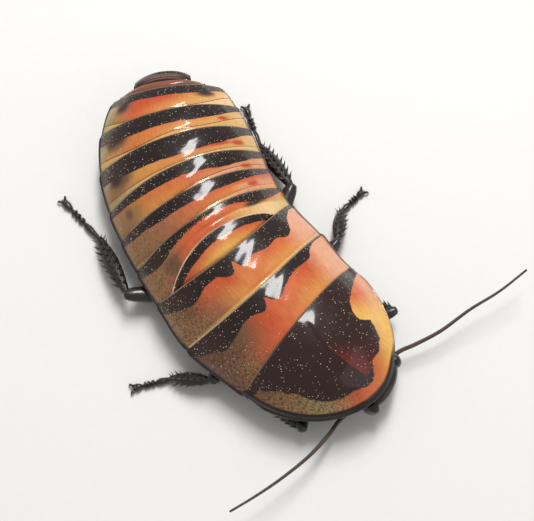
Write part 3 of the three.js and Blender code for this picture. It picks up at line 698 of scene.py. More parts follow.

# Markings and painted shade, each list from the right margin to the left: band width and distance to the
# groove in mm, then the tones just ahead of the band, behind the groove and ahead of it. The tones darken
# from peach and cream on the left to olive and umber on the right: partly the animal's own colour, partly
# painted light on the left and painted shade on the right. Patches are (tone, share of the half-width, mm
# from the rear margin, radius across, radius along); the olive ones on the right flank are painted shade
# too. A rim is the strength of a painted highlight along the rear lip.
plateMarksAndShade = {
    "tergite_1": {
        "band": (1.0, 1.5, 1.6, 1.6, 1.0), "groove": (3.4, 3.6, 3.7, 3.6, 3.4), "line": 0, "rim": 1.0,
        "near": ("red", "redOrange", "orange", "redOrange", "redOrange"),
        "far": ("red", "amber", "gold", "amber", "redOrange"),
        "ahead": ("red", "gold", "gold", "gold", "redOrange")},
    "tergite_2": {
        "band": (1.2, 2.0, 1.5, 1.0, 0.8, 1.0, 1.8, 2.2, 0.7),
        "groove": (3.8, 3.4, 2.7, 2.2, 2.1, 2.2, 2.5, 3.0, 3.3), "line": 0, "rim": 0.3, "hair": 0.7,
        "near": ("oliveBrown", "oliveBrown", "redOrange", "redOrange", "redOrange", "red", "amber"),
        "far": ("oliveBrown", "umber", "redOrange", "redOrange", "orange", "sand", "yellow"),
        "ahead": ("oliveBrown", "chestnut", "redOrange", "redOrange", "sand", "paleCream", "yellow"),
        "patches": (("oliveBrown", -0.86, 2.6, 2.0, 1.8), ("umber", -0.62, 3.2, 1.4, 1.4),
                    ("smudge", 0.55, 2.3, 2.0, 0.6)),
        "strokes": (-0.2, 0.28)},
    "tergite_3": {
        "band": (1.0, 1.9, 2.0, 2.0, 1.0), "groove": (3.9, 4.4, 3.8, 3.5, 3.3), "line": 0.6, "rim": 0.3,
        "hair": 0.5,
        "near": ("oliveBrown", "chestnut", "redOrange", "redOrange", "red"),
        "far": ("oliveBrown", "chestnut", "orange", "amber", "peach"),
        "ahead": ("olive", "sand", "cream", "peach", "amber"),
        "patches": (("oliveBrown", -0.8, 3.1, 2.6, 1.6), ("chestnut", -0.55, 2.6, 1.2, 0.5),
                    ("peach", 0.6, 3.0, 2.6, 0.55), ("red", 0.68, 2.9, 1.1, 0.5))},
    "tergite_4": {
        "band": (0.9, 1.7, 2.1, 2.9, 1.4), "groove": (3.8, 4.3, 3.9, 3.4, 2.9), "line": 0.9, "rim": 0.25,
        "near": ("oliveBrown", "orange", "redOrange", "orange", "amber"),
        "far": ("oliveBrown", "amber", "orange", "peach", "peach"),
        "ahead": ("olive", "cream", "cream", "peach", "amber"),
        "patches": (("oliveBrown", -0.82, 2.9, 2.4, 1.8), ("umber", -0.79, 2.3, 0.6, 0.9),
                    ("peach", 0.62, 3.3, 2.8, 0.6), ("red", 0.72, 3.3, 1.1, 0.5))},
    "tergite_5": {
        "band": (2.2, 3.1, 3.6, 3.5, 1.6), "groove": (4.5, 4.7, 4.7, 4.6, 4.3), "line": 0.8, "rim": 0.2,
        "near": ("olive", "amber", "orange", "redOrange", "cream"),
        "far": ("olive", "amber", "amber", "sand", "cream"),
        "ahead": ("olive", "cream", "cream", "cream", "cream"),
        "patches": (("oliveBrown", -0.86, 3.8, 2.4, 1.3), ("umber", -0.74, 2.9, 2.3, 1.5),
                    ("smudge", -0.8, 2.7, 1.2, 0.9),
                    ("red", 0.5, 3.6, 2.4, 0.45), ("red", 0.74, 3.7, 1.2, 0.65))},
    "tergite_6": {
        "band": (2.0, 2.7, 2.7, 3.0, 1.2), "groove": (4.2, 4.8, 4.2, 4.3, 2.7), "line": 1.0, "rim": 0.15,
        "near": ("olive", "orange", "orange", "amber", "sand"),
        "far": ("sand", "orange", "amber", "sand", "cream"),
        "ahead": ("yellow", "cream", "sand", "sand", "cream"),
        "patches": (("umber", -0.74, 2.7, 2.6, 1.5), ("smudge", -0.72, 2.3, 2.2, 1.0),
                    ("olive", -0.93, 3.4, 0.9, 1.0), ("red", 0.68, 3.3, 1.1, 0.55))},
    "tergite_7": {
        "band": (1.2, 1.7, 2.0, 2.1, 1.3), "groove": (3.7, 4.9, 4.7, 4.4, 2.6), "line": 1.0, "rim": 0.15,
        "near": ("olive", "red", "red", "amber", "sand"),
        "far": ("olive", "redOrange", "amber", "sand", "paleCream"),
        "ahead": ("yellow", "cream", "cream", "paleCream", "paleCream"),
        "patches": (("umber", -0.68, 2.1, 2.0, 1.4), ("smudge", -0.7, 1.9, 1.4, 1.2),
                    ("olive", -0.93, 2.9, 1.7, 1.7), ("umber", 0.6, 2.4, 2.3, 0.9),
                    ("smudge", 0.62, 2.2, 1.8, 0.6))},
}


def toneOf(name):
    return np.array(hexColor(shellTones[name])[:3])


def toneAlong(names, share):  # tones spread evenly over -1 to 1 and blended between
    tones = np.array([toneOf(name) for name in names])
    places = np.linspace(-1, 1, len(names))
    return np.stack([np.interp(share, places, tones[:, k]) for k in range(3)], -1)


def blend(tone, other, share):
    return tone * (1 - share[..., None]) + other * share[..., None]


def fieldTones(marks, u, d, band, groove):
    # across the plate the tones are partly own colour, partly painted shade on the right and painted
    # light on the left
    share = smooth(0, 1, (d - band) / np.maximum(groove - band, 0.3))
    tone = blend(toneAlong(marks["near"], u), toneAlong(marks["far"], u), share)
    tone = blend(tone, toneAlong(marks["ahead"], u), smooth(-0.06, 0.2, d - groove))
    for name, at, along, wide, deep in marks.get("patches", ()):
        reach = np.hypot((u - at) * halfWidth / wide, (d - along) / deep)
        tone = blend(tone, toneOf(name), smooth(1.25, 0.35, reach))
    return tone


def plateGrid(rearAt, frontAt, topAt, widthOf, rowCount, swing):
    # a plate with its lip and both flanks rolled under: body points and each point's place on it
    columns = plateForm["columns"]
    side = np.sin(np.linspace(-1, 1, columns) * math.pi / 2)
    roll = np.array(plateForm["sideRoll"])
    side = np.concatenate([-np.ones(len(roll)), side, np.ones(len(roll))])
    outL = np.concatenate([-roll[:, 0], np.zeros(columns), roll[::-1, 0]])
    outZ = np.concatenate([roll[:, 1], np.zeros(columns), roll[::-1, 1]])
    under = np.array(plateForm["rearRoll"])
    tuck = np.linspace(0, 1, 8)[1:]
    along = np.concatenate([np.zeros(len(under)), np.linspace(0, 1, rowCount), np.ones(len(tuck))])
    deltaS = np.concatenate([under[:, 0], np.zeros(rowCount), plateForm["tuck"] * tuck])
    deltaZ = np.concatenate([under[:, 1], np.zeros(rowCount), -plateForm["tuckDrop"] * tuck])
    tucked = np.concatenate([np.zeros(len(under) + rowCount), tuck])
    side, along = side[None, :], along[:, None]
    l = side * halfWidth
    for _ in range(8):  # width and edges depend on each other, and settle after a few turns
        s = rearAt(l) * (1 - along) + frontAt(l) * along
        corner = 0.35 * smooth(0.9, 0, s - rearAt(l)) ** 2
        l = swing + side * (widthOf(s) + 0.2 * (1 - along) - corner - 0.5 * tucked[:, None])
    # where a plate runs out to a point its lip is lower and rolls under less
    room = np.clip((frontAt(l) - rearAt(l)) / 1.1, 0.2, 1)
    z = topAt(l, s) + plateForm["lipLift"] * room * (1 - along)
    d = s - rearAt(l)
    rolled = np.where(along > 0, 1, room)
    s = s + deltaS[:, None] * rolled
    z = z + np.maximum(deltaZ[:, None] * rolled + outZ[None, :], -plateForm["rollLimit"])
    return l, l + outL[None, :], s, z, d, side + 0 * s


def relief(l, d, length, grooveAt):  # gentle swelling, the groove and a hammered unevenness
    swell = plateForm["swell"] * np.sin(math.pi * np.clip(d / np.maximum(length, 1), 0, 1)) ** 1.2
    groove = plateForm["grooveDepth"] * np.exp(-((d - grooveAt) / 0.22) ** 2)
    uneven = 0.018 * np.sin(l * 1.9 + d * 0.7) * np.sin(d * 2.3 - l * 0.6 + 1.0)
    return swell - groove + uneven * smooth(0.2, 1.0, d)


def dressShell(mesh, values):  # what the shell's material reads, one value for each vertex
    for name in ("plateMm", "marks", "edges", "fieldTone", "darkTone"):
        setValues(mesh, name, values[name])
    setValues(mesh, "granuleShare", values["granules"])
    setValues(mesh, "hair", values["hair"])


def stacked(*columns):
    return np.stack(np.broadcast_arrays(*columns), -1)


def granuleRows(inside, d):  # granules stand closest along both edges of a band
    rows = np.exp(-(((d - 0.4) / 0.25) ** 2)) + np.exp(-(((inside - 0.3) / 0.25) ** 2))
    return smooth(0, 0.3, inside) * np.clip(0.35 + 0.65 * rows, 0, 1)


def dressPlate(mesh, l, d, u, band, groove, marks):
    # strength of the painted highlight along the rear lip
    rim = marks.get("rim", 0) * smooth(0.2, 0.1, d)
    ragged = marks.get("ragged", 0.06) + 0 * u
    if "strokes" in marks:
        ragged = ragged + 0.5 * np.exp(-((u - marks["strokes"][0]) / marks["strokes"][1]) ** 2)
    onTop = smooth(0.12, 0.3, d) * smooth(1.0, 0.96, np.abs(u))
    stray = marks.get("stray", 0.03) + marks.get("strayRight", 0) * smooth(-0.5, -0.85, u)
    share = onTop * (marks.get("granules", 1.0) * granuleRows(band - d, d) + stray)
    flanks = 0.7 * smooth(-0.5, -0.9, u) + 0.5 * smooth(0.6, 0.95, u)
    dark = blend(toneOf("black") + 0 * l[..., None], toneOf("bandBrown"), flanks)
    if "wrinkles" in marks:  # paler wrinkles that follow the rear edge
        pale = sum(np.exp(-((d - at) / wide) ** 2) for at, wide in marks["wrinkles"])
        pale = 0.85 * np.clip(pale, 0, 1) * smooth(4.0, 1.5, np.abs(l + 0.3))
        dark = blend(dark, toneOf("pinkBrown"), pale)
    # the black flank line: the dark margin, stronger on the right flank as painted shade under the rolled
    # edge
    edgeLine = smooth(0.965, 0.99, np.abs(u)) * np.where(u < 0, 1.0, 0.8)
    dressShell(mesh, {
        "plateMm": stacked(l + 40, d + marks["offset"], 0 * l),
        "marks": stacked(band - d, d - groove, 4 * ragged),
        "edges": stacked(marks["line"] + 0 * l, rim, edgeLine),
        "fieldTone": fieldTones(marks, u, d, band, groove),
        "darkTone": dark,
        "granules": share + 0 * l,
        # hair-like strokes of painted shade, on the right flank only
        "hair": marks.get("hair", 0) * smooth(-0.35, -0.8, u),
    })


granuleForm = {"spacing": 0.24, "density": 4.4, "radius": 0.074}  # mm, per square mm, mm
granuleBatches = []


def growGranules(obj, seed):
    copy = newObject("granules", obj.data.copy())
    runTree(copy, granules, {
        "Spacing": granuleForm["spacing"] * mm, "Density": granuleForm["density"] / mm ** 2,
        "Radius": granuleForm["radius"] * mm, "Seed": seed, "Finish": granuleWaxAndGlint})
    granuleBatches.append(copy)


def thicken(obj, thickness):
    solid = obj.modifiers.new("shell", "SOLIDIFY")
    solid.thickness = thickness * mm
    solid.offset = -1
    plainMesh(obj)
    outward(obj.data)
    obj.data.shade_smooth()


def backShell(name, node, slotName, rearAt, frontAt, marks, topAt=backTop, widthOf=widthAt,
              swing=0.0, sink=None, seed=1):
    middle = float(frontAt(np.array(0.0)) - rearAt(np.array(0.0)))
    rowCount = int(max(middle, 3.5) / plateForm["pitch"])
    l, lOut, s, z, d, u = plateGrid(rearAt, frontAt, topAt, widthOf, rowCount, swing)
    length = frontAt(l) - rearAt(l)
    width = throughKeys(marks["lobes"], l)[..., 0] if "lobes" in marks else acrossKeys(marks["band"], u)
    groove = length - marks["frontLine"] if "frontLine" in marks else acrossKeys(marks["groove"], u)
    z = z + relief(l, d, length, groove) * (1 - smooth(0.9, 1, np.abs(u)))
    if sink is not None:
        z = z - sink(l, s)
    obj = gridObject(name, place(lOut, s, z))
    dressPlate(obj.data, l, d, u, width, groove, marks)
    growGranules(obj, seed)
    thicken(obj, plateForm["shell"])
    return settle(obj, slotName, node, finish=shellSkin)


# Rear edges from the tail tip, mm: at the midline and at the half-width, abdomen plates 1 to 7 first.
tergiteRears = (
    (32.4, 36.4), (29.3, 29.3), (25.0, 24.7), (20.6, 20.7), (15.4, 15.0), (10.3, 9.4), (5.2, 4.4))
metanotumRear = (36.5, 33.8)
mesonotumRear = (43.3, 41.4)
pronotumRear = (50.4, 49.9)


def crescentRear(l):
    return rearLine(tergiteRears[0], l - bodyForm["crescentSwing"])


def lineAt(rear, behind=0.0):  # a plate's rear edge over l, or a line a little behind it
    return lambda l: rearLine(rear, l) - behind


def abdomenFront(number):
    gap = plateForm["gap"]
    if number == 1:
        return lambda l: np.maximum(rearLine(metanotumRear, l) - gap, crescentRear(l) + 0.4)
    if number == 2:
        return lambda l: np.minimum(crescentRear(l), rearLine(metanotumRear, l)) - gap
    return lineAt(tergiteRears[number - 2], gap)


def crescentSink(l, s):  # the first plate's two ends slip under the metanotum
    return bodyForm["crescentSink"] * smooth(-0.5, 0.4, s - rearLine(metanotumRear, l))


for number, rear in enumerate(tergiteRears, start=1):
    node = f"tergite_{number}"
    marks = dict(plateMarksAndShade[node], offset=9.0 * number)
    if number == 1:
        backShell(f"shell_{node}", node, "plate_orange", crescentRear, abdomenFront(1), marks,
                  widthOf=lambda s: bodyForm["crescentHalfWidth"] + 0 * s,
                  swing=bodyForm["crescentShift"], sink=crescentSink, seed=1)
    else:
        backShell(f"shell_{node}", node, "plate_orange", lineAt(rear), abdomenFront(number), marks,
                  seed=number)

# Thorax plates: lobed bands given as (mm left of the midline, band width). Their tones, like the
# abdomen's, are partly the animal's own colour and partly painted shade on the right flank and painted
# light on the left.
thoraxMarksAndShade = {
    "metanotum": {
        "lobes": (
            (-13.4, 1.3), (-12.0, 2.2), (-10.5, 3.0), (-8.3, 3.1), (-6.7, 2.3), (-4.4, 2.1), (-2.6, 3.0),
            (-1.9, 2.8), (-1.3, 1.3), (-0.7, 2.6), (1.3, 2.5), (4.1, 3.2), (6.2, 3.1), (7.9, 4.1),
            (9.2, 3.4), (10.0, 1.9), (11.1, 1.1), (13.4, 0.9)),
        "frontLine": 0.16, "line": 0, "rim": 0.4, "stray": 0.05, "strayRight": 0.3, "hair": 1,
        "ragged": 0.16,
        "near": ("oliveBrown", "umber", "redOrange", "red", "orange", "redOrange", "redOrange", "peach",
                 "peach"),
        "far": ("oliveBrown", "oliveBrown", "chestnut", "amber", "orange", "amber", "amber", "peach",
                "peach"),
        "ahead": ("oliveBrown", "yellow", "gold", "gold", "paleCream")},
    "mesonotum": {
        "lobes": (
            (-13.4, 1.6), (-11.6, 2.3), (-10.1, 3.2), (-7.8, 2.9), (-6.1, 2.3), (-4.3, 2.4), (-2.5, 2.9),
            (-1.9, 2.4), (-1.5, 1.5), (-1.0, 2.5), (-0.1, 3.0), (2.4, 2.4), (4.9, 1.9), (6.3, 2.1),
            (8.1, 2.1), (9.5, 1.0), (11.6, 0.6), (13.4, 0.5)),
        "frontLine": -1, "line": 0, "rim": 0.9, "stray": 0.05, "strayRight": 0.3, "hair": 1,
        "ragged": 0.14,
        "near": ("umber", "umber", "umber", "red", "redOrange", "redOrange", "red", "peach", "peach"),
        "far": ("umber", "oliveBrown", "redOrange", "redOrange", "orange", "amber", "amber", "peach",
                "peach"),
        "ahead": ("oliveBrown", "gold", "gold", "gold", "paleCream")},
}
for name, rear, ahead, seed in (("metanotum", metanotumRear, mesonotumRear, 21),
                                ("mesonotum", mesonotumRear, pronotumRear, 22)):
    marks = dict(thoraxMarksAndShade[name], offset=9.0 * seed)
    backShell(f"shell_{name}", name, "plate_orange", lineAt(rear), lineAt(ahead, plateForm["gap"]), marks,
              seed=seed)
print("abdomen and thorax plates made")

# Pronotum, the shield over the head.
shieldForm = {
    "fieldOutline": (  # front edge of the black field from left to right, (l, s) in mm
        (12.3, 51.6), (8.8, 53.3), (6.6, 54.4), (5.2, 55.9), (5.0, 57.4), (5.9, 58.7), (5.4, 60.1),
        (4.4, 61.4), (2.7, 62.2), (0.8, 62.1), (-0.5, 63.0), (-1.5, 63.5), (-2.7, 62.9), (-4.4, 61.6),
        (-5.8, 60.8), (-7.0, 59.7), (-7.9, 58.1), (-8.2, 56.8), (-9.0, 54.9), (-10.0, 53.1),
        (-11.0, 51.4)),
    "fieldRear": ((-13.5, 50.6), (-13.5, 47.0), (13.5, 47.0), (13.5, 50.9)),  # closes it behind
    "midline": -1.6,
    # border tones from the right side to the left: partly own colour, partly painted shade on the right
    # and painted light on the left
    "borderInner": (
        "umber", "oliveBrown", "olive", "red", "redOrange", "amber", "gold", "redOrange", "orange"),
    "borderOuter": (
        "umber", "oliveBrown", "olive", "redOrange", "orange", "gold", "gold", "peach", "peach"),
    "edgeRoll": (  # how the rim curls under, (outward, z) in mm
        (0.02, -0.02), (0.09, -0.08), (0.13, -0.2), (0.12, -0.34), (0.03, -0.46), (-0.2, -0.52),
        (-0.7, -0.52), (-1.5, -0.42)),
    "swelling": 0.28,  # two low humps beside the midline, mm high
    "furrow": 0.07,
    "rimLift": 0.22,  # the reflexed margin
    "shell": 0.14,
    "rows": 100,
    "columns": 180,
}


def distanceInside(outline, l, s):  # signed distance to a closed outline, positive inside
    outline = np.array(outline, float)
    best = np.full(l.shape, 1e9)
    inside = np.zeros(l.shape, bool)
    for (ax, ay), (bx, by) in zip(outline, np.roll(outline, -1, axis=0)):
        dx, dy = bx - ax, by - ay
        t = np.clip(((l - ax) * dx + (s - ay) * dy) / (dx * dx + dy * dy), 0, 1)
        best = np.minimum(best, np.hypot(l - ax - t * dx, s - ay - t * dy))
        crosses = (ay > s) != (by > s)
        inside ^= crosses & (l < ax + (s - ay) * dx / (dy if abs(dy) > 1e-9 else 1e-9))
    return np.where(inside, best, -best)


def shieldGrid():
    # each point's place, its distances from the rear edge, the rim and the midline, and the way out
    form = shieldForm
    side = np.sin(np.linspace(-1, 1, form["columns"]) * math.pi / 2)
    under = np.array(plateForm["rearRoll"])
    along = np.concatenate([np.zeros(len(under)), 1 - (1 - np.linspace(0, 1, form["rows"])) ** 1.25])
    deltaS = np.concatenate([under[:, 0], np.zeros(form["rows"])])[:, None]
    deltaZ = np.concatenate([under[:, 1], np.zeros(form["rows"])])[:, None]
    l = side[None, :] * (bodyForm["pronotumHalfWidth"] - 0.1) + 0 * along[:, None]
    along = along[:, None]
    rear = rearLine(pronotumRear, l)
    front = np.maximum(pronotumFront(np.abs(l) * 0.985), rear + 0.9)
    s = rear * (1 - along) + front * along
    z = pronotumTop(l, s) + plateForm["lipLift"] * (1 - along) * 0.8 + 0.12
    d = s - rear
    wide, deep = bodyForm["pronotumHalfWidth"], bodyForm["pronotumLength"]
    outL = np.sign(l) * np.abs(l / wide) ** 0.85 / wide
    outS = np.maximum(0, (s - bodyForm["pronotumRear"]) / deep) ** 0.85 / deep
    size = np.maximum(np.hypot(outL, outS), 1e-6)
    inward = (1 - pronotumRadial(l, s)) * 13
    midL = l - form["midline"] * smooth(50, 56, s)
    z = z + form["swelling"] * np.exp(-(((np.abs(midL) - 4.2) / 2.2) ** 2) - ((s - 59.0) / 2.4) ** 2)
    z = z - form["furrow"] * np.exp(-(midL / 0.3) ** 2) * smooth(51, 53, s) * smooth(63, 60.5, s)
    z = z + form["rimLift"] * np.exp(-((inward - 0.25) / 0.45) ** 2)
    z = z - 0.10 * np.exp(-((inward - 1.5) / 0.7) ** 2)
    z = z + 0.02 * np.sin(l * 1.3 + s * 0.5) * np.sin(s * 1.7 - l * 0.4)
    return l, s + deltaS, z + deltaZ, d, inward, midL, outL / size, outS / size


def borderOf(grid):  # the right side, the front and the left side of a grid, in one row
    return np.concatenate([grid[:-1, 0], grid[-1, :-1], grid[::-1, -1]])


def rollRim(obj, l, s, z, outL, outS):  # the front and both sides curl under along the way out
    work = bmesh.new()
    work.from_mesh(obj.data)
    work.verts.ensure_lookup_table()
    previous = [work.verts[i] for i in borderOf(np.arange(l.size).reshape(l.shape))]
    middle = l.size // 2
    l, s, z, outL, outS = (borderOf(grid) for grid in (l, s, z, outL, outS))
    for out, drop in shieldForm["edgeRoll"]:
        current = [work.verts.new(p) for p in place(l + outL * out, s + outS * out, z + drop)]
        for i in range(len(current) - 1):
            work.faces.new((previous[i], previous[i + 1], current[i + 1], current[i]))
        previous = current
    bmesh.ops.recalc_face_normals(work, faces=work.faces)
    if work.faces[:][middle].normal.z < 0:
        bmesh.ops.reverse_faces(work, faces=work.faces[:])
    work.to_mesh(obj.data)
    work.free()
    obj.data.shade_smooth()


def dressShield(mesh, l, s, d, inward, midL):
    form = shieldForm
    band = distanceInside(form["fieldOutline"] + form["fieldRear"], l, s)
    u = l / bodyForm["pronotumHalfWidth"]
    # black margin: a hairline of dark margin on the left, broadened on the right and the front by painted
    # shade of the underside below the rim
    rightness = smooth(-0.3, 0.5, -u - 0.1 + 0.9 * smooth(62, 65, s))
    edge = smooth(0.30 + 0.45 * rightness, 0.12 + 0.3 * rightness, inward) * (0.25 + 0.75 * rightness)
    # the border's tones run round the shield from its right side to its left
    ahead = np.maximum(s - bodyForm["pronotumRear"], 0) / bodyForm["pronotumLength"]
    turn = 1 - 2 / math.pi * np.arctan2(ahead, u)
    border = blend(toneAlong(form["borderInner"], turn), toneAlong(form["borderOuter"], turn),
                   smooth(2.6, 0.8, inward))
    # a red glow on the midline's left side, wider forward, and the dark seam beside it
    reach = 0.5 + 0.3 * np.clip(s - 56, 0, 6)
    glow = np.exp(-np.maximum(midL, 0) / reach) * smooth(-0.15, 0.1, midL)
    glow = glow * smooth(54, 60, s) * smooth(62.8, 61.8, s)
    seam = 0.8 * np.exp(-((midL / 0.1) ** 2)) * smooth(53, 54, s) * smooth(62.5, 61.5, s)
    dark = blend(toneOf("black") + 0 * l[..., None], toneOf("maroon"), 0.55 + 0.3 * smooth(2, -8, l))
    dark = blend(dark, toneOf("glow"), 0.95 * glow)
    dark = blend(dark, toneOf("black") * 0.5, seam)
    share = granuleRows(band, 9 + 0 * d) * 0.9 + 0.06
    share = share * smooth(0.12, 0.3, d) * smooth(0.5, 1.0, inward)

    def withRim(values, rimValue):  # the points of the grid, then each row of the rolled rim
        kind = values.shape[2:]
        rim = np.broadcast_to(rimValue, (len(borderOf(l)), *kind))
        return np.concatenate([values.reshape(-1, *kind)] + [rim] * len(form["edgeRoll"]))

    dressShell(mesh, {
        "plateMm": stacked(withRim(l + 40, borderOf(l) + 40), withRim(s, borderOf(s)), 0),
        "marks": stacked(withRim(band, -1), -3, withRim(4 * 0.14 + 0 * l, 0)),
        # the rear lip's painted highlight, then the black margin with painted shade on the right and the
        # front
        "edges": stacked(0, withRim(0.2 * smooth(0.2, 0.1, d), 0), withRim(edge, 1)),
        "fieldTone": withRim(border, toneOf("black")),
        "darkTone": withRim(dark, toneOf("black")),
        "granules": withRim(share, 0),
        # hair-like strokes of painted shade on the right side of the shield
        "hair": withRim(smooth(-0.05, -0.5, turn), 0),
    })


def pronotumShell():
    l, s, z, d, inward, midL, outL, outS = shieldGrid()
    obj = gridObject("shell_pronotum", place(l, s, z))
    rollRim(obj, l, s, z, outL, outS)
    dressShield(obj.data, l, s, d, inward, midL)
    growGranules(obj, 31)
    thicken(obj, shieldForm["shell"])
    return settle(obj, "pronotum_black", "pronotum", finish=shellSkin)


pronotumShell()
print("pronotum made")

# Tail plate: a short strip behind the last banded plate and a dark dome behind the strip.
tailForm = {
    "swing": -0.6,
    "stripHalfWidth": 6.8,
    "stripRear": 3.65,
    "stripDrop": 0.16,  # below the line of the back
    "domeHalfWidth": 4.6,
    "domeReach": 2.7,
    "domeDrop": 0.3,
}
tailMarks = {
    "strip": {
        "band": (-9, -9, -9), "groove": (9, 9, 9), "line": 0, "granules": 0, "stray": 0, "offset": 70.0,
        **dict.fromkeys(("near", "far", "ahead"), ("taupe", "stripBrown", "stripBrown", "taupe"))},
    "dome": {
        "band": (9, 9, 9), "groove": (20, 20, 20), "line": 0, "granules": 0.12, "stray": 0,
        "offset": 77.0,
        "wrinkles": ((0.85, 0.1), (1.25, 0.14), (1.75, 0.1)),
        **dict.fromkeys(("near", "far", "ahead"), ("umber", "umber"))},
}


def tailShell():
    form = tailForm

    def stripRear(l):
        t = np.clip(np.abs(l - form["swing"]) / form["stripHalfWidth"], 0, 1)
        return form["stripRear"] + 0.8 * t ** 3

    def domeRear(l):
        t = np.clip(np.abs(l - form["swing"]) / (form["domeHalfWidth"] + 0.12), 0, 1)
        return form["stripRear"] - form["domeReach"] * (1 - t ** 2.4) ** (1 / 2.4)

    backShell("shell_tail_strip", "tail_plate", "plate_orange", stripRear,
              lineAt(tergiteRears[6], plateForm["gap"]), tailMarks["strip"],
              topAt=lambda l, s: backTop(l, s) - form["stripDrop"],
              widthOf=lambda s: form["stripHalfWidth"] + 0 * s, swing=form["swing"], seed=41)
    backShell("shell_tail_dome", "tail_plate", "pronotum_black", domeRear,
              lambda l: form["stripRear"] + 0.25 + 0 * l, tailMarks["dome"],
              topAt=lambda l, s: backTop(l, s) - form["domeDrop"],
              widthOf=lambda s: form["domeHalfWidth"] - 0.2 + 0 * s, swing=form["swing"], seed=42)


tailShell()
allGranules = settle(joined("shellGranules", granuleBatches), "plate_orange")
print("granules", len(allGranules.data.polygons), "faces")

# Underside: the soft skin inside the shell, the thorax skin and six belly plates.
softForm = {
    "from": 2.4,
    "to": 58.0,
    "inside": 1.15,  # how far it keeps inside the shell
    "below": 1.1,  # and below its top
    "rings": 110,
    "sides": 64,
}
thoraxForm = {
    "from": 33.9,
    "length": 26.5,
    "halfWidth": 9.2,
    "narrowing": 5.0,  # of its front end
    "depth": 1.1,
    "firstFold": 34.6,
    "segment": 8.2,  # from fold to fold
    "rings": 70,
    "sides": 72,
}


def softBody():
    form = softForm
    phi = np.linspace(0, 2 * math.pi, form["sides"], endpoint=False)
    rings = []
    for s in np.linspace(form["from"], form["to"], form["rings"]):
        wide = float(widthAt(np.array(s))) - form["inside"]
        wide *= 1 - 0.6 * float(smooth(50, 60, s))
        fold = 1 + 0.012 * math.sin(s * 4.1)
        l = wide * np.sign(np.cos(phi)) * np.abs(np.cos(phi)) ** 0.75
        top = backTop(l, np.full_like(l, s)) - form["below"] - 2.6 * float(smooth(49, 58, s))
        low = marginAt(np.full_like(l, s)) - 1.05
        mid = (top + low) / 2
        z = mid + (top - low) / 2 * np.sin(phi)
        rings.append(place(l * fold, np.full_like(l, s), z))
    return settle(tubeObject("softSkin", np.array(rings)), "soft_brown", finish=jointSkin)


def thoraxSkin():
    form = thoraxForm
    phi = np.linspace(0, 2 * math.pi, form["sides"], endpoint=False)
    cross = np.cos(phi)
    rings = []
    for a in np.linspace(0, 1, form["rings"]):
        s = form["from"] + form["length"] * a
        wide = form["halfWidth"]
        if a >= 0.6:
            wide = wide - form["narrowing"] * ((a - 0.6) / 0.4) ** 1.6
        l = wide * np.sign(cross) * np.abs(cross) ** 0.8
        top = float(marginAt(np.array(s))) - 0.85
        deep = form["depth"] * (1 - 0.35 * np.abs(cross) ** 3)
        # three segments, each swelling between the folds at its ends, with a keel down the middle
        segment = abs(math.sin(math.pi * (s - form["firstFold"]) / form["segment"]))
        deep = deep + 0.3 * segment ** 0.6 - 0.25 + 0.18 * np.exp(-((l / 0.9) ** 2)) * segment
        z = np.where(np.sin(phi) > 0, top, top - deep * np.abs(np.sin(phi)) ** 0.6)
        rings.append(place(l, np.full_like(l, s), z))
    skin = tubeObject("thoraxSkin", np.array(rings))
    return settle(skin, "belly_brown", "thorax_underside", finish=jointSkin)


bellyForm = {
    "edge": 0.5,
    "depth": 1.9,
    "front": 33.6,
    "rears": (29.2, 24.6, 20.0, 15.0, 9.6, 1.7),
    "gap": 0.3,
    "tuck": 1.3,
    "lipRoll": ((0.5, 0.24), (0.15, 0.26), (-0.03, 0.16), (0.0, 0.05)),
    "shell": 0.16,
    "pitch": 0.2,
    "columns": 110,
}


def bellyDepth(l, s, wide):
    rear = np.clip((s - 1) / 9, 0, 1) ** 0.7
    front = np.clip((36.5 - s) / 9, 0, 1) ** 0.8
    deep = bellyForm["depth"] * (0.25 + 0.75 * np.minimum(rear, front))
    return bellyForm["edge"] + deep * (1 - np.clip(np.abs(l) / wide, 0, 1) ** 2.4)


def bellyPlate(i):
    form = bellyForm
    rear = form["rears"][i]
    front = form["front"] if i == 0 else form["rears"][i - 1] - form["gap"]
    side = np.sin(np.linspace(-1, 1, form["columns"]) * math.pi / 2)[None, :]
    lip = np.array(form["lipRoll"])
    rows = int((front - rear) / form["pitch"])
    tuck = np.linspace(0, 1, 6)[1:]
    along = np.concatenate([np.zeros(len(lip)), np.linspace(0, 1, rows), np.ones(len(tuck))])[:, None]
    deltaS = np.concatenate([lip[:, 0], np.zeros(rows), form["tuck"] * tuck])[:, None]
    deltaZ = np.concatenate([lip[:, 1], np.zeros(rows), 0.3 * tuck])[:, None]
    s = rear + (front - rear) * along
    wide = np.maximum(widthAt(s) - 0.9, 1)
    l = side * wide
    rounding = 2.2 if i == 5 else 0  # of the last plate's rear edge
    s = s + (1 - along) * rounding * np.abs(side) ** 3
    low = marginAt(s) - 0.85 - bellyDepth(l, s, wide) - 0.14 * (1 - along)
    furrow = 0.06 * np.exp(-((np.abs(l) - 0.72 * wide) / 0.5) ** 2)
    obj = gridObject(f"bellyPlate_{i + 2}", place(l, s + deltaS, low + furrow + deltaZ), faceUp=False)
    thicken(obj, form["shell"])
    return settle(obj, "belly_brown", f"sternite_{i + 2}", finish=bellyChitin)


softBody()
thoraxSkin()
for i in range(len(bellyForm["rears"])):
    bellyPlate(i)
print("underside made")

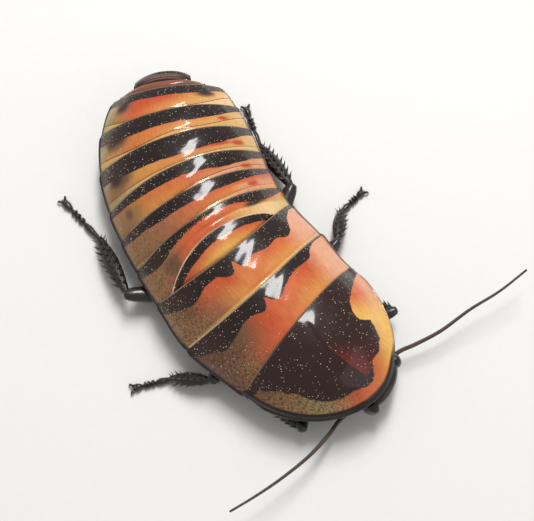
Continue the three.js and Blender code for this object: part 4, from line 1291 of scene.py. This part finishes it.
# Head.
headForm = {
    "centre": (63.4, 3.45),  # s and z
    "faceUp": (0.84, 0.54),
    "faceOut": (0.54, -0.84),
    "halfWidth": 4.5,
    "halfHeight": (3.4, 3.3),  # above and below the centre
    "halfDepth": (1.85, 1.7),  # face and back
    "swellings": (  # left, up, radius across, radius up and height, mm
        (0, 1.2, 1.7, 1.6, 0.16),  # forehead
        (0, -2.55, 1.5, 0.5, 0.22),  # clypeus across the mouth
        (0, -1.85, 1.9, 0.16, -0.14),  # the seam above it
        (2.6, -0.75, 0.75, 0.75, -0.22),  # hollows round the sockets
        (-2.6, -0.75, 0.75, 0.75, -0.22),
        (0, 2.6, 0.14, 1.4, -0.08)),  # furrow between the eyes
    "eye": (3.8, 1.1, 0.35),  # outward, up and forward
    "eyeHalf": (1.1, 1.55, 1.25),
    "eyeNotch": 0.28,  # where the feeler's socket sits
}
sides = {"left": 1, "right": -1}


def facePoint(l, up, out):
    s = headForm["centre"][0] + up * headForm["faceUp"][0] + out * headForm["faceOut"][0]
    z = headForm["centre"][1] + up * headForm["faceUp"][1] + out * headForm["faceOut"][1]
    return place(l, s, z)


def sphereGrid(rows, columns):  # polar rings without the poles: x right-left, y up the face, z out
    polar = np.linspace(0, math.pi, rows + 2)[1:-1][:, None]
    turn = np.linspace(0, 2 * math.pi, columns, endpoint=False)[None, :]
    return np.cos(turn) * np.sin(polar), np.cos(polar) + 0 * turn, np.sin(turn) * np.sin(polar)


def roundedPiece(name, rows, columns, shape):
    x, y, z = sphereGrid(rows, columns)
    poles = [facePoint(*(float(v) for v in shape(np.array(0.0), np.array(end), np.array(0.0))))
             for end in (1.0, -1.0)]
    return tubeObject(name, facePoint(*shape(x, y, z)), poles)


def roundBump(x, y, cx, cy, rx, ry):
    return np.exp(-((x - cx) / rx) ** 2 - ((y - cy) / ry) ** 2)


def headShape(x, y, z):
    above, below = headForm["halfHeight"]
    face, back = headForm["halfDepth"]
    up = np.where(y > 0, y * above, y * below)
    taper = np.where(y > 0, 1, 1 - 0.42 * np.abs(y) ** 1.6)
    wide = headForm["halfWidth"] * taper * np.sign(x) * np.abs(x) ** 0.92
    out = z * (np.where(z > 0, face, back) * (1 - 0.15 * np.maximum(0, -y)))
    front = smooth(0.1, 0.8, z)
    for atLeft, atUp, across, along, height in headForm["swellings"]:
        out = out + front * height * roundBump(wide, up, atLeft, atUp, across, along)
    return wide, up, out


def blobShape(centre, half):
    return lambda x, y, z: (centre[0] + x * half[0], centre[1] + y * half[1], centre[2] + z * half[2])


def kidney(sign):  # wraps the head's side, notched in front
    out, up, ahead = headForm["eye"]
    half = headForm["eyeHalf"]

    def shape(x, y, z):
        notch = 1 - headForm["eyeNotch"] * roundBump(x * sign, y, -0.3, -0.75, 0.7, 0.45)
        return sign * out + x * half[0] * notch, up + y * half[1], ahead + z * half[2] * notch
    return shape


def makeHead():
    settle(roundedPiece("headCapsule", 60, 96, headShape), "head_black", "head", finish=blackChitin)
    for side, sign in sides.items():
        eye = roundedPiece(f"compoundEye_{side}", 34, 48, kidney(sign))
        settle(eye, "eye", f"eye_{side}", finish=eyeFinish)


def facetedEye():
    # Compound eye: glossy black lenses in a honeycomb. The real facets, about 0.03 mm, are too
    # fine to show, so these are larger.
    facet = 0.11 * mm
    material, tree = startMaterial("honeycombEyeLens")
    spot = addNode(tree, "ShaderNodeTexCoord").outputs["Object"]
    cells = addNode(tree, "ShaderNodeTexVoronoi", {
        "Vector": spot, "Scale": 1 / facet, "Randomness": 0.35})
    color = addNode(tree, "ShaderNodeMix", {
        0: cells.outputs["Distance"], 6: hexColor("1c1413"), 7: hexColor("050404")}, data_type="RGBA")
    bump = addNode(tree, "ShaderNodeBump", {
        "Strength": 0.6, "Distance": 0.00003, "Height": cells.outputs["Distance"]}, invert=True)
    endMaterial(tree, {
        "Base Color": color, "Roughness": 0.14, "IOR": 1.5, "Normal": bump,
        "Coat Weight": 0.6, "Coat Roughness": 0.06})
    return material


eyeFinish = facetedEye()
makeHead()

mouthParts = {  # centre and half sizes on the face, mm: left, up, out
    "labrum": ((0, -3.65, 0.45), (1.35, 0.75, 0.42), "soft_brown"),
    "mandibles": ((0, -3.5, -0.35), (1.7, 0.8, 0.5), "head_black"),
    "labium": ((0, -3.2, -1.25), (1.5, 0.95, 0.45), "soft_brown"),
}
faceParts = {
    "clypeus": ((0, -2.75, 1.25), (1.5, 0.5, 0.3)),
    "ocellus": ((1.75, 0.55, 1.72), (0.3, 0.36, 0.14)),  # a pale spot above each socket
}
palpForm = {  # each route in mm on the face: outward, up, out
    "jaw": {
        "route": ((1.75, -2.3, -0.5), (2.9, -3.1, -0.35), (3.5, -2.7, 0.6), (3.3, -2.0, 1.35)),
        "keys": roundKeys(
            (0, 0.26), (0.08, 0.32), (0.17, 0.24), (0.27, 0.34), (0.38, 0.23), (0.5, 0.34), (0.62, 0.23),
            (0.72, 0.36), (0.81, 0.24), (0.92, 0.37), (1, 0.24)),
        "detail": (60, 18)},
    "lip": {
        "route": ((0.8, -3.5, -1.35), (1.5, -4.1, -1.0), (1.9, -4.1, -0.3)),
        "keys": roundKeys((0, 0.2), (0.2, 0.26), (0.35, 0.18), (0.55, 0.26), (0.7, 0.18), (0.88, 0.27),
                          (1, 0.16)),
        "detail": (36, 14)},
}
neckForm = {
    "route": ((0, 58.2, 3.75), (0, 60.6, 3.9), (0, 63.2, 4.0)),
    "keys": ((0, 2.7, 0.7), (0.2, 2.9, 0.9), (0.4, 2.6, 0.75), (0.6, 2.9, 0.9), (0.8, 2.6, 0.8),
             (1, 2.6, 0.7)),
}


def makeMouth():
    for name, (centre, half, slotName) in mouthParts.items():
        def shape(x, y, z, centre=centre, half=half, name=name):
            below = np.maximum(0, -y)
            across = x * half[0] * (1 - 0.25 * below ** 2)
            notch = 0.22 * np.exp(-(x / 0.22) ** 2) * below if name != "mandibles" else 0
            split = 0.2 * np.exp(-(x / 0.08) ** 2) if name != "labrum" else 0
            up = centre[1] + y * half[1] + notch
            return centre[0] + across, up, centre[2] + z * half[2] * (1 - split)
        piece = roundedPiece(name + "Piece", 30, 44, shape)
        settle(piece, slotName, name, finish=blackChitin if name == "mandibles" else mouthChitin)
    clypeus = roundedPiece("clypeus", 20, 36, blobShape(*faceParts["clypeus"]))
    settle(clypeus, "soft_brown", finish=mouthChitin)
    (out, up, ahead), half = faceParts["ocellus"]
    for side, sign in sides.items():
        shape = blobShape((sign * out, up, ahead), half)
        settle(roundedPiece(f"ocellus_{side}", 12, 20, shape), "soft_brown", finish=palpSkin)


def makePalps():
    # five jaw-feeler segments on each side and three lip-feeler segments inside them
    for side, sign in sides.items():
        pair = []
        for kind, form in palpForm.items():
            route = [facePoint(sign * a, b, c) for a, b, c in form["route"]]
            pair.append(tubeObject(f"{kind}Palp", limbRings(route, form["keys"], *form["detail"])))
        settle(joined(f"palps_{side}", pair), "soft_brown", f"palp_{side}", finish=palpSkin)


def makeNeck():
    route = [place(*point) for point in neckForm["route"]]
    neck = tubeObject("neckSkin", limbRings(route, neckForm["keys"], 40, 40))
    settle(neck, "soft_brown", "neck", finish=jointSkin)


makeMouth()
makePalps()
makeNeck()
print("head made")

# Feelers.
feelerForm = {
    "root": (2.6, -0.75, 1.3),  # outward, up and out on the face
    "scapeShare": 0.085,  # of the whole feeler, for its smooth base
    "scapeKeys": roundKeys((0, 0.38), (0.12, 0.42), (0.3, 0.56), (0.55, 0.54), (0.68, 0.4), (0.72, 0.34),
                           (0.8, 0.46), (0.93, 0.44), (1, 0.33)),
    "socketRadius": 0.68,
    "socketRim": (0.16, 0.12),  # half the rim's width and height, mm
    "rings": 104,
    "rootRadius": 0.36,
    "tipRadius": 0.17,
    "coreShare": 0.8,  # radius of the pale core that shows between the rings
    "route": {
        "left": ((5.4, -26.8, 2.9), (8.0, -27.2, 3.1), (12.2, -27.65, 3.6), (17.6, -27.45, 4.3),
                 (22.8, -27.65, 5.0), (28.0, -27.25, 5.6)),
        "right": ((-7.5, -30.5, 2.9), (-9.9, -31.4, 3.2), (-14.1, -32.55, 3.8), (-19.5, -33.2, 4.5),
                  (-23.7, -33.35, 5.0), (-27.7, -33.3, 5.6)),
    },
}


def makeSocket(side, scapeRoute):  # the raised rim that the feeler turns in
    turns, steps = 36, 12
    turn = np.linspace(0, 2 * math.pi, turns, endpoint=False)
    tube = np.linspace(0, 2 * math.pi, steps, endpoint=False)
    at, along, level, rise = framesAt(scapeRoute, [0.0])
    halfRim, halfHeight = feelerForm["socketRim"]
    reach = (feelerForm["socketRadius"] + halfRim * np.cos(tube))[None, :, None] * (
        np.cos(turn)[:, None, None] * level[0] + np.sin(turn)[:, None, None] * rise[0])
    rim = at[0] + (reach + (halfHeight * np.sin(tube))[None, :, None] * along[0]) * mm
    index = np.arange(turns * steps).reshape(turns, steps)
    ahead = np.roll(index, -1, 0)
    faces = np.stack([index, ahead, np.roll(ahead, -1, 1), np.roll(index, -1, 1)], -1)
    socket = meshObject(f"feelerSocket_{side}", rim, faces.reshape(-1, 4).tolist(), turnOut=True)
    settle(socket, "head_black", finish=mouthChitin)


def makeFeeler(side, sign):
    form = feelerForm
    shift = np.array(bodyForm["shift"] + (0.0,))
    aside, up, ahead = form["root"]
    route = [facePoint(sign * aside, up, ahead)]
    route += [(np.array(point) + shift) * mm for point in form["route"][side]]
    scapeRoute, _ = pathThrough(route, np.linspace(0, form["scapeShare"], 8))
    scape = tubeObject(f"feelerBase_{side}", limbRings(scapeRoute, form["scapeKeys"], 60, 26))
    makeSocket(side, scapeRoute)
    settle(scape, "limb_black", f"antenna_base_{side}", finish=feelerChitin)

    line, _ = pathThrough(route, np.linspace(form["scapeShare"] + 0.004, 0.995, 160))
    steps = [(i, i + 1) for i in range(len(line) - 1)]
    rings = meshObject(f"feelerRings_{side}", line, edges=steps)
    runTree(rings, feelerRings, {
        "Rings": form["rings"], "Root Radius": form["rootRadius"] * mm,
        "Tip Radius": form["tipRadius"] * mm, "Waist": 0.3, "Finish": feelerChitin})
    settle(rings, "limb_black", f"antenna_inner_{side}", f"antenna_outer_{side}")
    coreKeys = roundKeys((0, form["coreShare"] * form["rootRadius"]),
                         (1, form["coreShare"] * form["tipRadius"]))
    core = tubeObject(f"feelerCore_{side}", limbRings(line[::8], coreKeys, 150, 10))
    settle(core, "limb_black", finish=feelerCore)


for side, sign in sides.items():
    makeFeeler(side, sign)
print("feelers made")

# Legs. Body points in mm: hip's outer end, hip, knee, ankle and toe, left legs with l above 0.
legForm = {
    "front": {
        "left": ((6.9, 59.4), (4.6, 54.2), (12.2, 59.9, 3.4), (11.0, 54.8, 0.85), (11.3, 49.4)),
        "right": ((-6.5, 59.0), (-3.8, 53.0), (-10.3, 59.0, 3.3), (-9.6, 54.0, 0.85), (-10.2, 48.9)),
    },
    "middle": {
        "left": ((8.0, 50.0), (4.9, 44.9), (14.8, 43.1, 3.4), (19.5, 37.4, 0.85), (24.4, 36.1)),
        "right": ((-8.0, 50.0), (-4.9, 45.2), (-13.5, 46.6, 3.1), (-17.3, 42.7, 0.85), (-22.395, 40.8)),
    },
    "hind": {
        "left": ((8.0, 42.0), (5.2, 35.8), (14.5, 28.6, 3.6), (13.4, 16.3, 0.9), (13.1, 7.0)),
        "right": ((-8.0, 42.0), (-4.7, 36.6), (-15.7, 31.6, 3.7), (-15.5, 22.3, 0.9), (-18.8, 15.6)),
    },
}
legDetail = {
    "stoutness": {"front": 0.85, "middle": 0.92, "hind": 1.05},
    "thornsPerRow": {"front": 5, "middle": 5, "hind": 7},
    "thornLength": 1.2,
    "thornRadius": 0.23,
    "crownRadius": 0.12,  # of the small thorns round the ankle
    "footHeight": 0.42,
    "footPieces": (0.42, 0.12, 0.1, 0.09, 0.27),
    "clawKeys": ((0, 0.24, 0.24), (0.45, 0.2, 0.22), (0.8, 0.13, 0.15), (1, 0.04, 0.04)),
    "hipHeight": 1.85,
    "hipHang": 2.7,  # below the shell's margin, where the hip piece starts
    "hipKeys": ((0, 1.0, 0.6), (0.2, 1.75, 0.85), (0.55, 1.7, 0.8), (0.85, 1.15, 0.7), (1, 0.7, 0.5)),
    "thighKeys": (
        (0, 0.55, 0.5), (0.07, 0.78, 0.68), (0.13, 0.8, 0.7), (0.17, 0.62, 0.55), (0.2, 0.78, 0.62),
        (0.34, 1.2, 0.8), (0.6, 1.35, 0.84), (0.85, 1.15, 0.78), (0.95, 0.98, 0.72), (1, 0.8, 0.62)),
    "shinShares": (0, 0.04, 0.1, 0.2, 0.34, 0.5, 0.65, 0.8, 0.9, 0.96, 1),
    "pad": (0.34, 0.26, 0.16),  # half its length, width and height
    "clawPad": (0.3, 0.2, 0.14),
    "bristles": {"thigh": (1.6, 0.5), "shin": (3.0, 0.55), "foot": (9.0, 0.36)},  # per square mm, mm
}
upward = np.array((0, 0, 1.0))


def shinWidth(t):  # the shin is flat and leaf-shaped, widest past its middle
    return 0.5 + 0.6 * np.maximum(np.sin(math.pi * t ** 1.15), 0) ** 0.9


def shinHeight(t):
    return 0.46 + 0.18 * np.sin(math.pi * t ** 1.15)


def keeled(t, phi):  # hip piece: low keels, and a rim at its root
    return 1 + 0.05 * np.cos(3 * phi) * np.sin(math.pi * t) + 0.04 * np.exp(-((t - 0.12) / 0.03) ** 2)


def grooved(t, phi):  # thigh: a furrow along the lower side, where the shin folds in
    under = np.exp(-((np.mod(phi, 2 * math.pi) - 1.5 * math.pi) / 0.35) ** 2)
    return 1 - 0.16 * under * smooth(0.35, 0.6, t) + 0.03 * np.cos(4 * phi) * smooth(0.2, 0.4, t)


def ridged(t, phi):  # shin
    return 1 + 0.04 * np.cos(6 * phi + 0.4) * np.sin(math.pi * t)


def flatSole(t, phi):  # foot
    return 1 - 0.1 * np.maximum(0, -np.sin(phi)) ** 2


def makeThorns(tag, kind, shinRoute, away, stout):
    # rows along the outer and upper sides, a few below and a crown at the ankle
    form = legDetail
    spots, aims, leans, sizes = [], [], [], []

    def addThorn(t, angle, length, radius):
        at, along, level, rise = (v[0] for v in framesAt(shinRoute, [t]))
        flip = 1 if level @ away > 0 else -1
        out = level * math.cos(angle) * flip + rise * math.sin(angle)
        aim = out * 0.8 + along * 0.6
        aim /= np.linalg.norm(aim)
        skin = 1 / math.hypot(math.cos(angle) / shinWidth(t), math.sin(angle) / shinHeight(t))
        root = at + out * 0.82 * skin * stout * mm
        length = min(length, (root[2] / mm - 0.12) / max(-aim[2], 0.01))  # the tip clears the floor
        if length < 0.3:
            return
        spots.append(root)
        aims.append(aim)
        leans.append(along)
        sizes.append((radius * mm, radius * mm, length * mm))

    rows = form["thornsPerRow"][kind]
    for turn, count in ((-0.3, 4), (0.08, rows), (0.4, rows), (0.75, rows), (1.25, 4)):
        for i in range(count):
            t = 0.16 + 0.78 * (i + 0.35 * (turn in (0.4, 1.25))) / count
            angle = turn * math.pi + rng.uniform(-0.12, 0.12)
            length = form["thornLength"] * stout * rng.uniform(0.72, 1.08)
            shorter = 0.75 if turn < 0 or turn > 1 else 1
            addThorn(t, angle, length * shorter, form["thornRadius"] * stout)
    for i in range(7):
        addThorn(0.955 + 0.01 * (i % 2), i / 7 * 2 * math.pi + 0.3,
                 form["thornLength"] * stout * 0.8, form["crownRadius"] * stout)
    piece = meshObject(f"shinThorns_{tag}", spots)
    for name, values in (("thornAim", aims), ("thornLean", leans), ("thornSize", sizes)):
        setValues(piece.data, name, values)
    runTree(piece, thorns, {"Sides": 8, "Curl": 0.1, "Finish": thornHorn})
    settle(piece, "limb_black", f"tibia_{tag}")


def makeFoot(tag, footRoute):
    # a long first segment, three short ones and the claw segment, with the places of the pads
    keys, pads, start = [(-0.001, 0.2, 0.24)], [], 0.0
    for i, share in enumerate(legDetail["footPieces"]):
        thick = 0.4 if i == 0 else 0.44
        keys += [(start + share * 0.06, 0.26, 0.28), (start + share * 0.3, thick, thick + 0.02),
                 (start + share * 0.8, thick + 0.1, thick + 0.08),
                 (start + share * 0.97, thick - 0.06, thick - 0.06)]
        start += share
        pads.append(start - share * 0.22)
    keys.append((1.001, 0.2, 0.22))
    foot = aboveFloor(tubeObject(f"foot_{tag}", limbRings(footRoute, keys, 150, 22, flatSole)))
    return settle(foot, "limb_black", f"tarsus_{tag}", finish=legChitin), pads[:4]


def padOn(centre, ahead, level, long, wide, deep, lift=-0.3):
    middle = centre + upward * lift * mm
    middle[2] = max(middle[2], (deep + 0.01) * mm)

    def at(a, b, c):
        spread = a[..., None] * level * wide + b[..., None] * ahead * long + c[..., None] * upward * deep
        return middle + spread * mm

    poles = [at(np.array(0.0), np.array(end), np.array(0.0)) for end in (1.0, -1.0)]
    return tubeObject("pad", at(*sphereGrid(10, 16)), poles)


def makePads(tag, footRoute, shares, ahead, level):
    pieces = []
    for share in shares:
        at, _ = pathThrough(footRoute, [share])
        pieces.append(padOn(at[0], ahead, level, *legDetail["pad"]))
    front = footRoute[-1] + ahead * 0.22 * mm
    pieces.append(padOn(front, ahead, level, *legDetail["clawPad"], lift=-0.1))
    settle(joined(f"footPads_{tag}", pieces), "limb_black", f"tarsus_{tag}", finish=padSkin)


def makeClaws(tag, toePoint, ahead, level):
    pieces = []
    for turn in (-1, 1):
        root = toePoint + (level * turn * 0.14 - ahead * 0.15) * mm
        bendAt = root + (ahead * 0.48 + level * turn * 0.42 + upward * 0.2) * mm
        tip = root + (ahead * 0.82 + level * turn * 0.64) * mm
        tip[2] = 0.1 * mm
        pieces.append(tubeObject("claw", limbRings([root, bendAt, tip], legDetail["clawKeys"], 26, 12)))
    settle(joined(f"claws_{tag}", pieces), "limb_black", f"tarsus_{tag}", finish=clawHorn)


def bristleCoat(piece, direction, density, length, thickness, lean, seed):  # the bristles alone, in mm
    coat = newObject("bristles", piece.data.copy())
    count = len(coat.data.vertices)
    setValues(coat.data, "bristleShare", np.ones(count))
    setValues(coat.data, "bristleLean", np.tile(direction, (count, 1)))
    return runTree(coat, bristles, {
        "Density": density / mm ** 2, "Length": length * mm, "Thickness": thickness * mm, "Lean": lean,
        "Seed": seed, "Finish": thornHorn})


def makeLeg(kind, side):
    form = legDetail
    hipOut, hip, knee, ankle, toe = legForm[kind][side]
    stout = form["stoutness"][kind]
    tag = f"{kind}_{side}"
    hang = float(marginAt(np.array(hipOut[1]))) - form["hipHang"]
    hipPoint = ground(*hip, form["hipHeight"])
    kneePoint = ground(*knee)
    anklePoint = ground(*ankle)
    toePoint = ground(*toe, form["footHeight"])

    keys = [(t, wide * stout, high) for t, wide, high in form["hipKeys"]]
    hipRoute = [ground(*hipOut, hang), hipPoint]
    coxa = tubeObject(f"hipPiece_{tag}", limbRings(hipRoute, keys, 44, 36, keeled))
    settle(coxa, "limb_black", f"coxa_{tag}", finish=legChitin)

    middle = (hipPoint + kneePoint) / 2 - upward * 0.15 * mm
    keys = [(t, wide * stout, high * stout) for t, wide, high in form["thighKeys"]]
    thigh = tubeObject(f"thigh_{tag}", limbRings([hipPoint, middle, kneePoint], keys, 72, 36, grooved))
    settle(thigh, "limb_black", f"femur_{tag}", finish=legChitin)

    shinRoute = [kneePoint, (kneePoint + anklePoint) / 2 + upward * 0.25 * mm, anklePoint]
    keys = [(t, shinWidth(t) * stout, shinHeight(t) * stout) for t in form["shinShares"]]
    shin = tubeObject(f"shin_{tag}", limbRings(shinRoute, keys, 64, 35, ridged))
    settle(shin, "limb_black", f"tibia_{tag}", finish=legChitin)
    away = ground(knee[0] * 1.3, knee[1], 0) - ground(knee[0], knee[1], 0)
    makeThorns(tag, kind, shinRoute, away, stout)

    line = toePoint - anklePoint
    footRoute = [anklePoint, anklePoint + line * 0.2, anklePoint + line * 0.6, toePoint]
    footRoute[1][2] = 0.5 * mm
    footRoute[2][2] = form["footHeight"] * mm
    foot, pads = makeFoot(tag, footRoute)
    ahead = line * (1, 1, 0)
    ahead = ahead / np.linalg.norm(ahead)
    level = np.array((-ahead[1], ahead[0], 0))
    makePads(tag, footRoute, pads, ahead, level)
    makeClaws(tag, toePoint, ahead, level)

    coats = []
    for piece, name in ((thigh, "thigh"), (shin, "shin"), (foot, "foot")):
        direction = kneePoint - hipPoint if name == "thigh" else line
        coats.append(bristleCoat(piece, direction / np.linalg.norm(direction), *form["bristles"][name],
                                 0.022, 0.9, 3 + len(tag)))
    settle(aboveFloor(joined(f"legBristles_{tag}", coats), 0.02), "limb_black")


for kind in legForm:
    for side in sides:
        makeLeg(kind, side)
print("legs made")

# Cerci, ringed, with long fine bristles.
cercusForm = {
    "route": ((3.7, 4.4, 3.3), (4.0, 2.7, 3.2), (3.9, 1.6, 3.1)),  # outward, s and z
    "keys": ((0, 0.34, 0.34), (0.3, 0.5, 0.42), (0.75, 0.38, 0.34), (1, 0.14, 0.14)),
    "rings": 8,
    "bristles": (14, 0.4, 0.02),  # per square mm, then length and thickness in mm
}


def ringed(t, phi):
    return 1 - 0.14 * np.abs(np.cos(t * math.pi * cercusForm["rings"])) ** 6


for side, sign in sides.items():
    base = 0.6 * tailForm["swing"]
    route = [place(base + sign * out, s, z) for out, s, z in cercusForm["route"]]
    cercus = tubeObject(f"cercusPiece_{side}", limbRings(route, cercusForm["keys"], 90, 24, ringed))
    coat = bristleCoat(cercus, (0.0, 1.0, 0.0), *cercusForm["bristles"], 0.8, 9)
    coat.name = f"cercusBristles_{side}"
    settle(cercus, "limb_black", f"cercus_{side}", finish=legChitin)
    settle(coat, "limb_black")
print("cerci made")

# Floor, light and camera.
studio = {
    "floor": "f3f1ed",
    "keyFrom": (0.33, 0.35, 0.88),
    "keyDistance": 0.5,
    "keyPower": 0.9,
    "keySize": (0.24, 0.36),
    "stripPower": 1.25,  # the narrow tube in the softbox that the shell mirrors
    "stripSize": (0.075, 0.26),
    "fillPower": 0.4,
    "fillSize": (0.5, 0.5),
    "fillFrom": (0.5, -0.9, 0.6),
    "fillDistance": 0.8,
    "fillTint": (1.0, 0.97, 0.93),
    "world": 0.36,
    "worldTint": (0.95, 0.97, 1.0, 1.0),
    "cameraElevation": 68,
    "cameraAzimuth": -32.8332,
    "cameraDistance": 160,
    "target": (-2.011, -4.382, 4.8),
    "sensorWidth": 36,
    "focalPixels": 1072,
    "imageWidth": 534,
}


def makeFloor():
    # Matt studio board: pale, no gloss, so that shadows read and nothing mirrors
    reach = 1.2
    corners = [(-reach, -reach, 0), (reach, -reach, 0), (reach, reach, 0), (-reach, reach, 0)]
    floor = meshObject("studioFloor", corners, [(0, 1, 2, 3)])
    material, tree = startMaterial("mattStudioBoard")
    spot = addNode(tree, "ShaderNodeTexCoord").outputs["Object"]
    fibre = addNode(tree, "ShaderNodeTexNoise", {"Vector": spot, "Scale": 900.0, "Detail": 3.0})
    tone = addNode(tree, "ShaderNodeMix", {
        0: fibre.outputs["Fac"], 6: hexColor(studio["floor"]), 7: hexColor("efede8")}, data_type="RGBA")
    endMaterial(tree, {"Base Color": tone, "Roughness": 0.9, "Specular IOR Level": 0.1})
    floor.data.materials.append(material)


def areaLight(name, power, size, direction, distance, color=(1, 1, 1)):
    data = bpy.data.lights.new(name, "AREA")
    data.shape = "RECTANGLE"
    data.size, data.size_y = size
    data.energy = power
    data.color = color
    light = newObject(name, data)
    light.location = Vector(direction).normalized() * distance
    light.rotation_mode = "QUATERNION"
    light.rotation_quaternion = light.location.to_track_quat("Z", "Y")
    return light


def makeLight():
    key = areaLight("keySoftbox", studio["keyPower"], studio["keySize"], studio["keyFrom"],
                    studio["keyDistance"])
    key.visible_glossy = False
    areaLight("keyStrip", studio["stripPower"], studio["stripSize"], studio["keyFrom"],
              studio["keyDistance"] - 0.01)
    areaLight("frontFill", studio["fillPower"], studio["fillSize"], studio["fillFrom"],
              studio["fillDistance"], studio["fillTint"])
    world = bpy.data.worlds.new("paleStudio")
    world.use_nodes = True
    background = world.node_tree.nodes["Background"]
    background.inputs["Color"].default_value = studio["worldTint"]
    background.inputs["Strength"].default_value = studio["world"]
    bpy.context.scene.world = world
    bpy.context.scene.view_settings.view_transform = "Standard"


def makeCamera():
    data = bpy.data.cameras.new("photoCamera")
    data.sensor_width = studio["sensorWidth"]
    data.lens = studio["focalPixels"] / studio["imageWidth"] * data.sensor_width
    data.clip_start = 0.01
    data.clip_end = 10
    camera = newObject("photoCamera", data)
    a = math.radians(studio["cameraAzimuth"])
    e = math.radians(studio["cameraElevation"])
    back = Vector((math.sin(a) * math.cos(e), -math.cos(a) * math.cos(e), math.sin(e)))
    target = Vector(studio["target"]) * mm
    camera.location = target + back * studio["cameraDistance"] * mm
    camera.rotation_mode = "QUATERNION"
    camera.rotation_quaternion = (-back).to_track_quat("-Z", "Y")
    bpy.context.scene.camera = camera


makeFloor()
makeLight()
makeCamera()
print("floor, light and camera set")
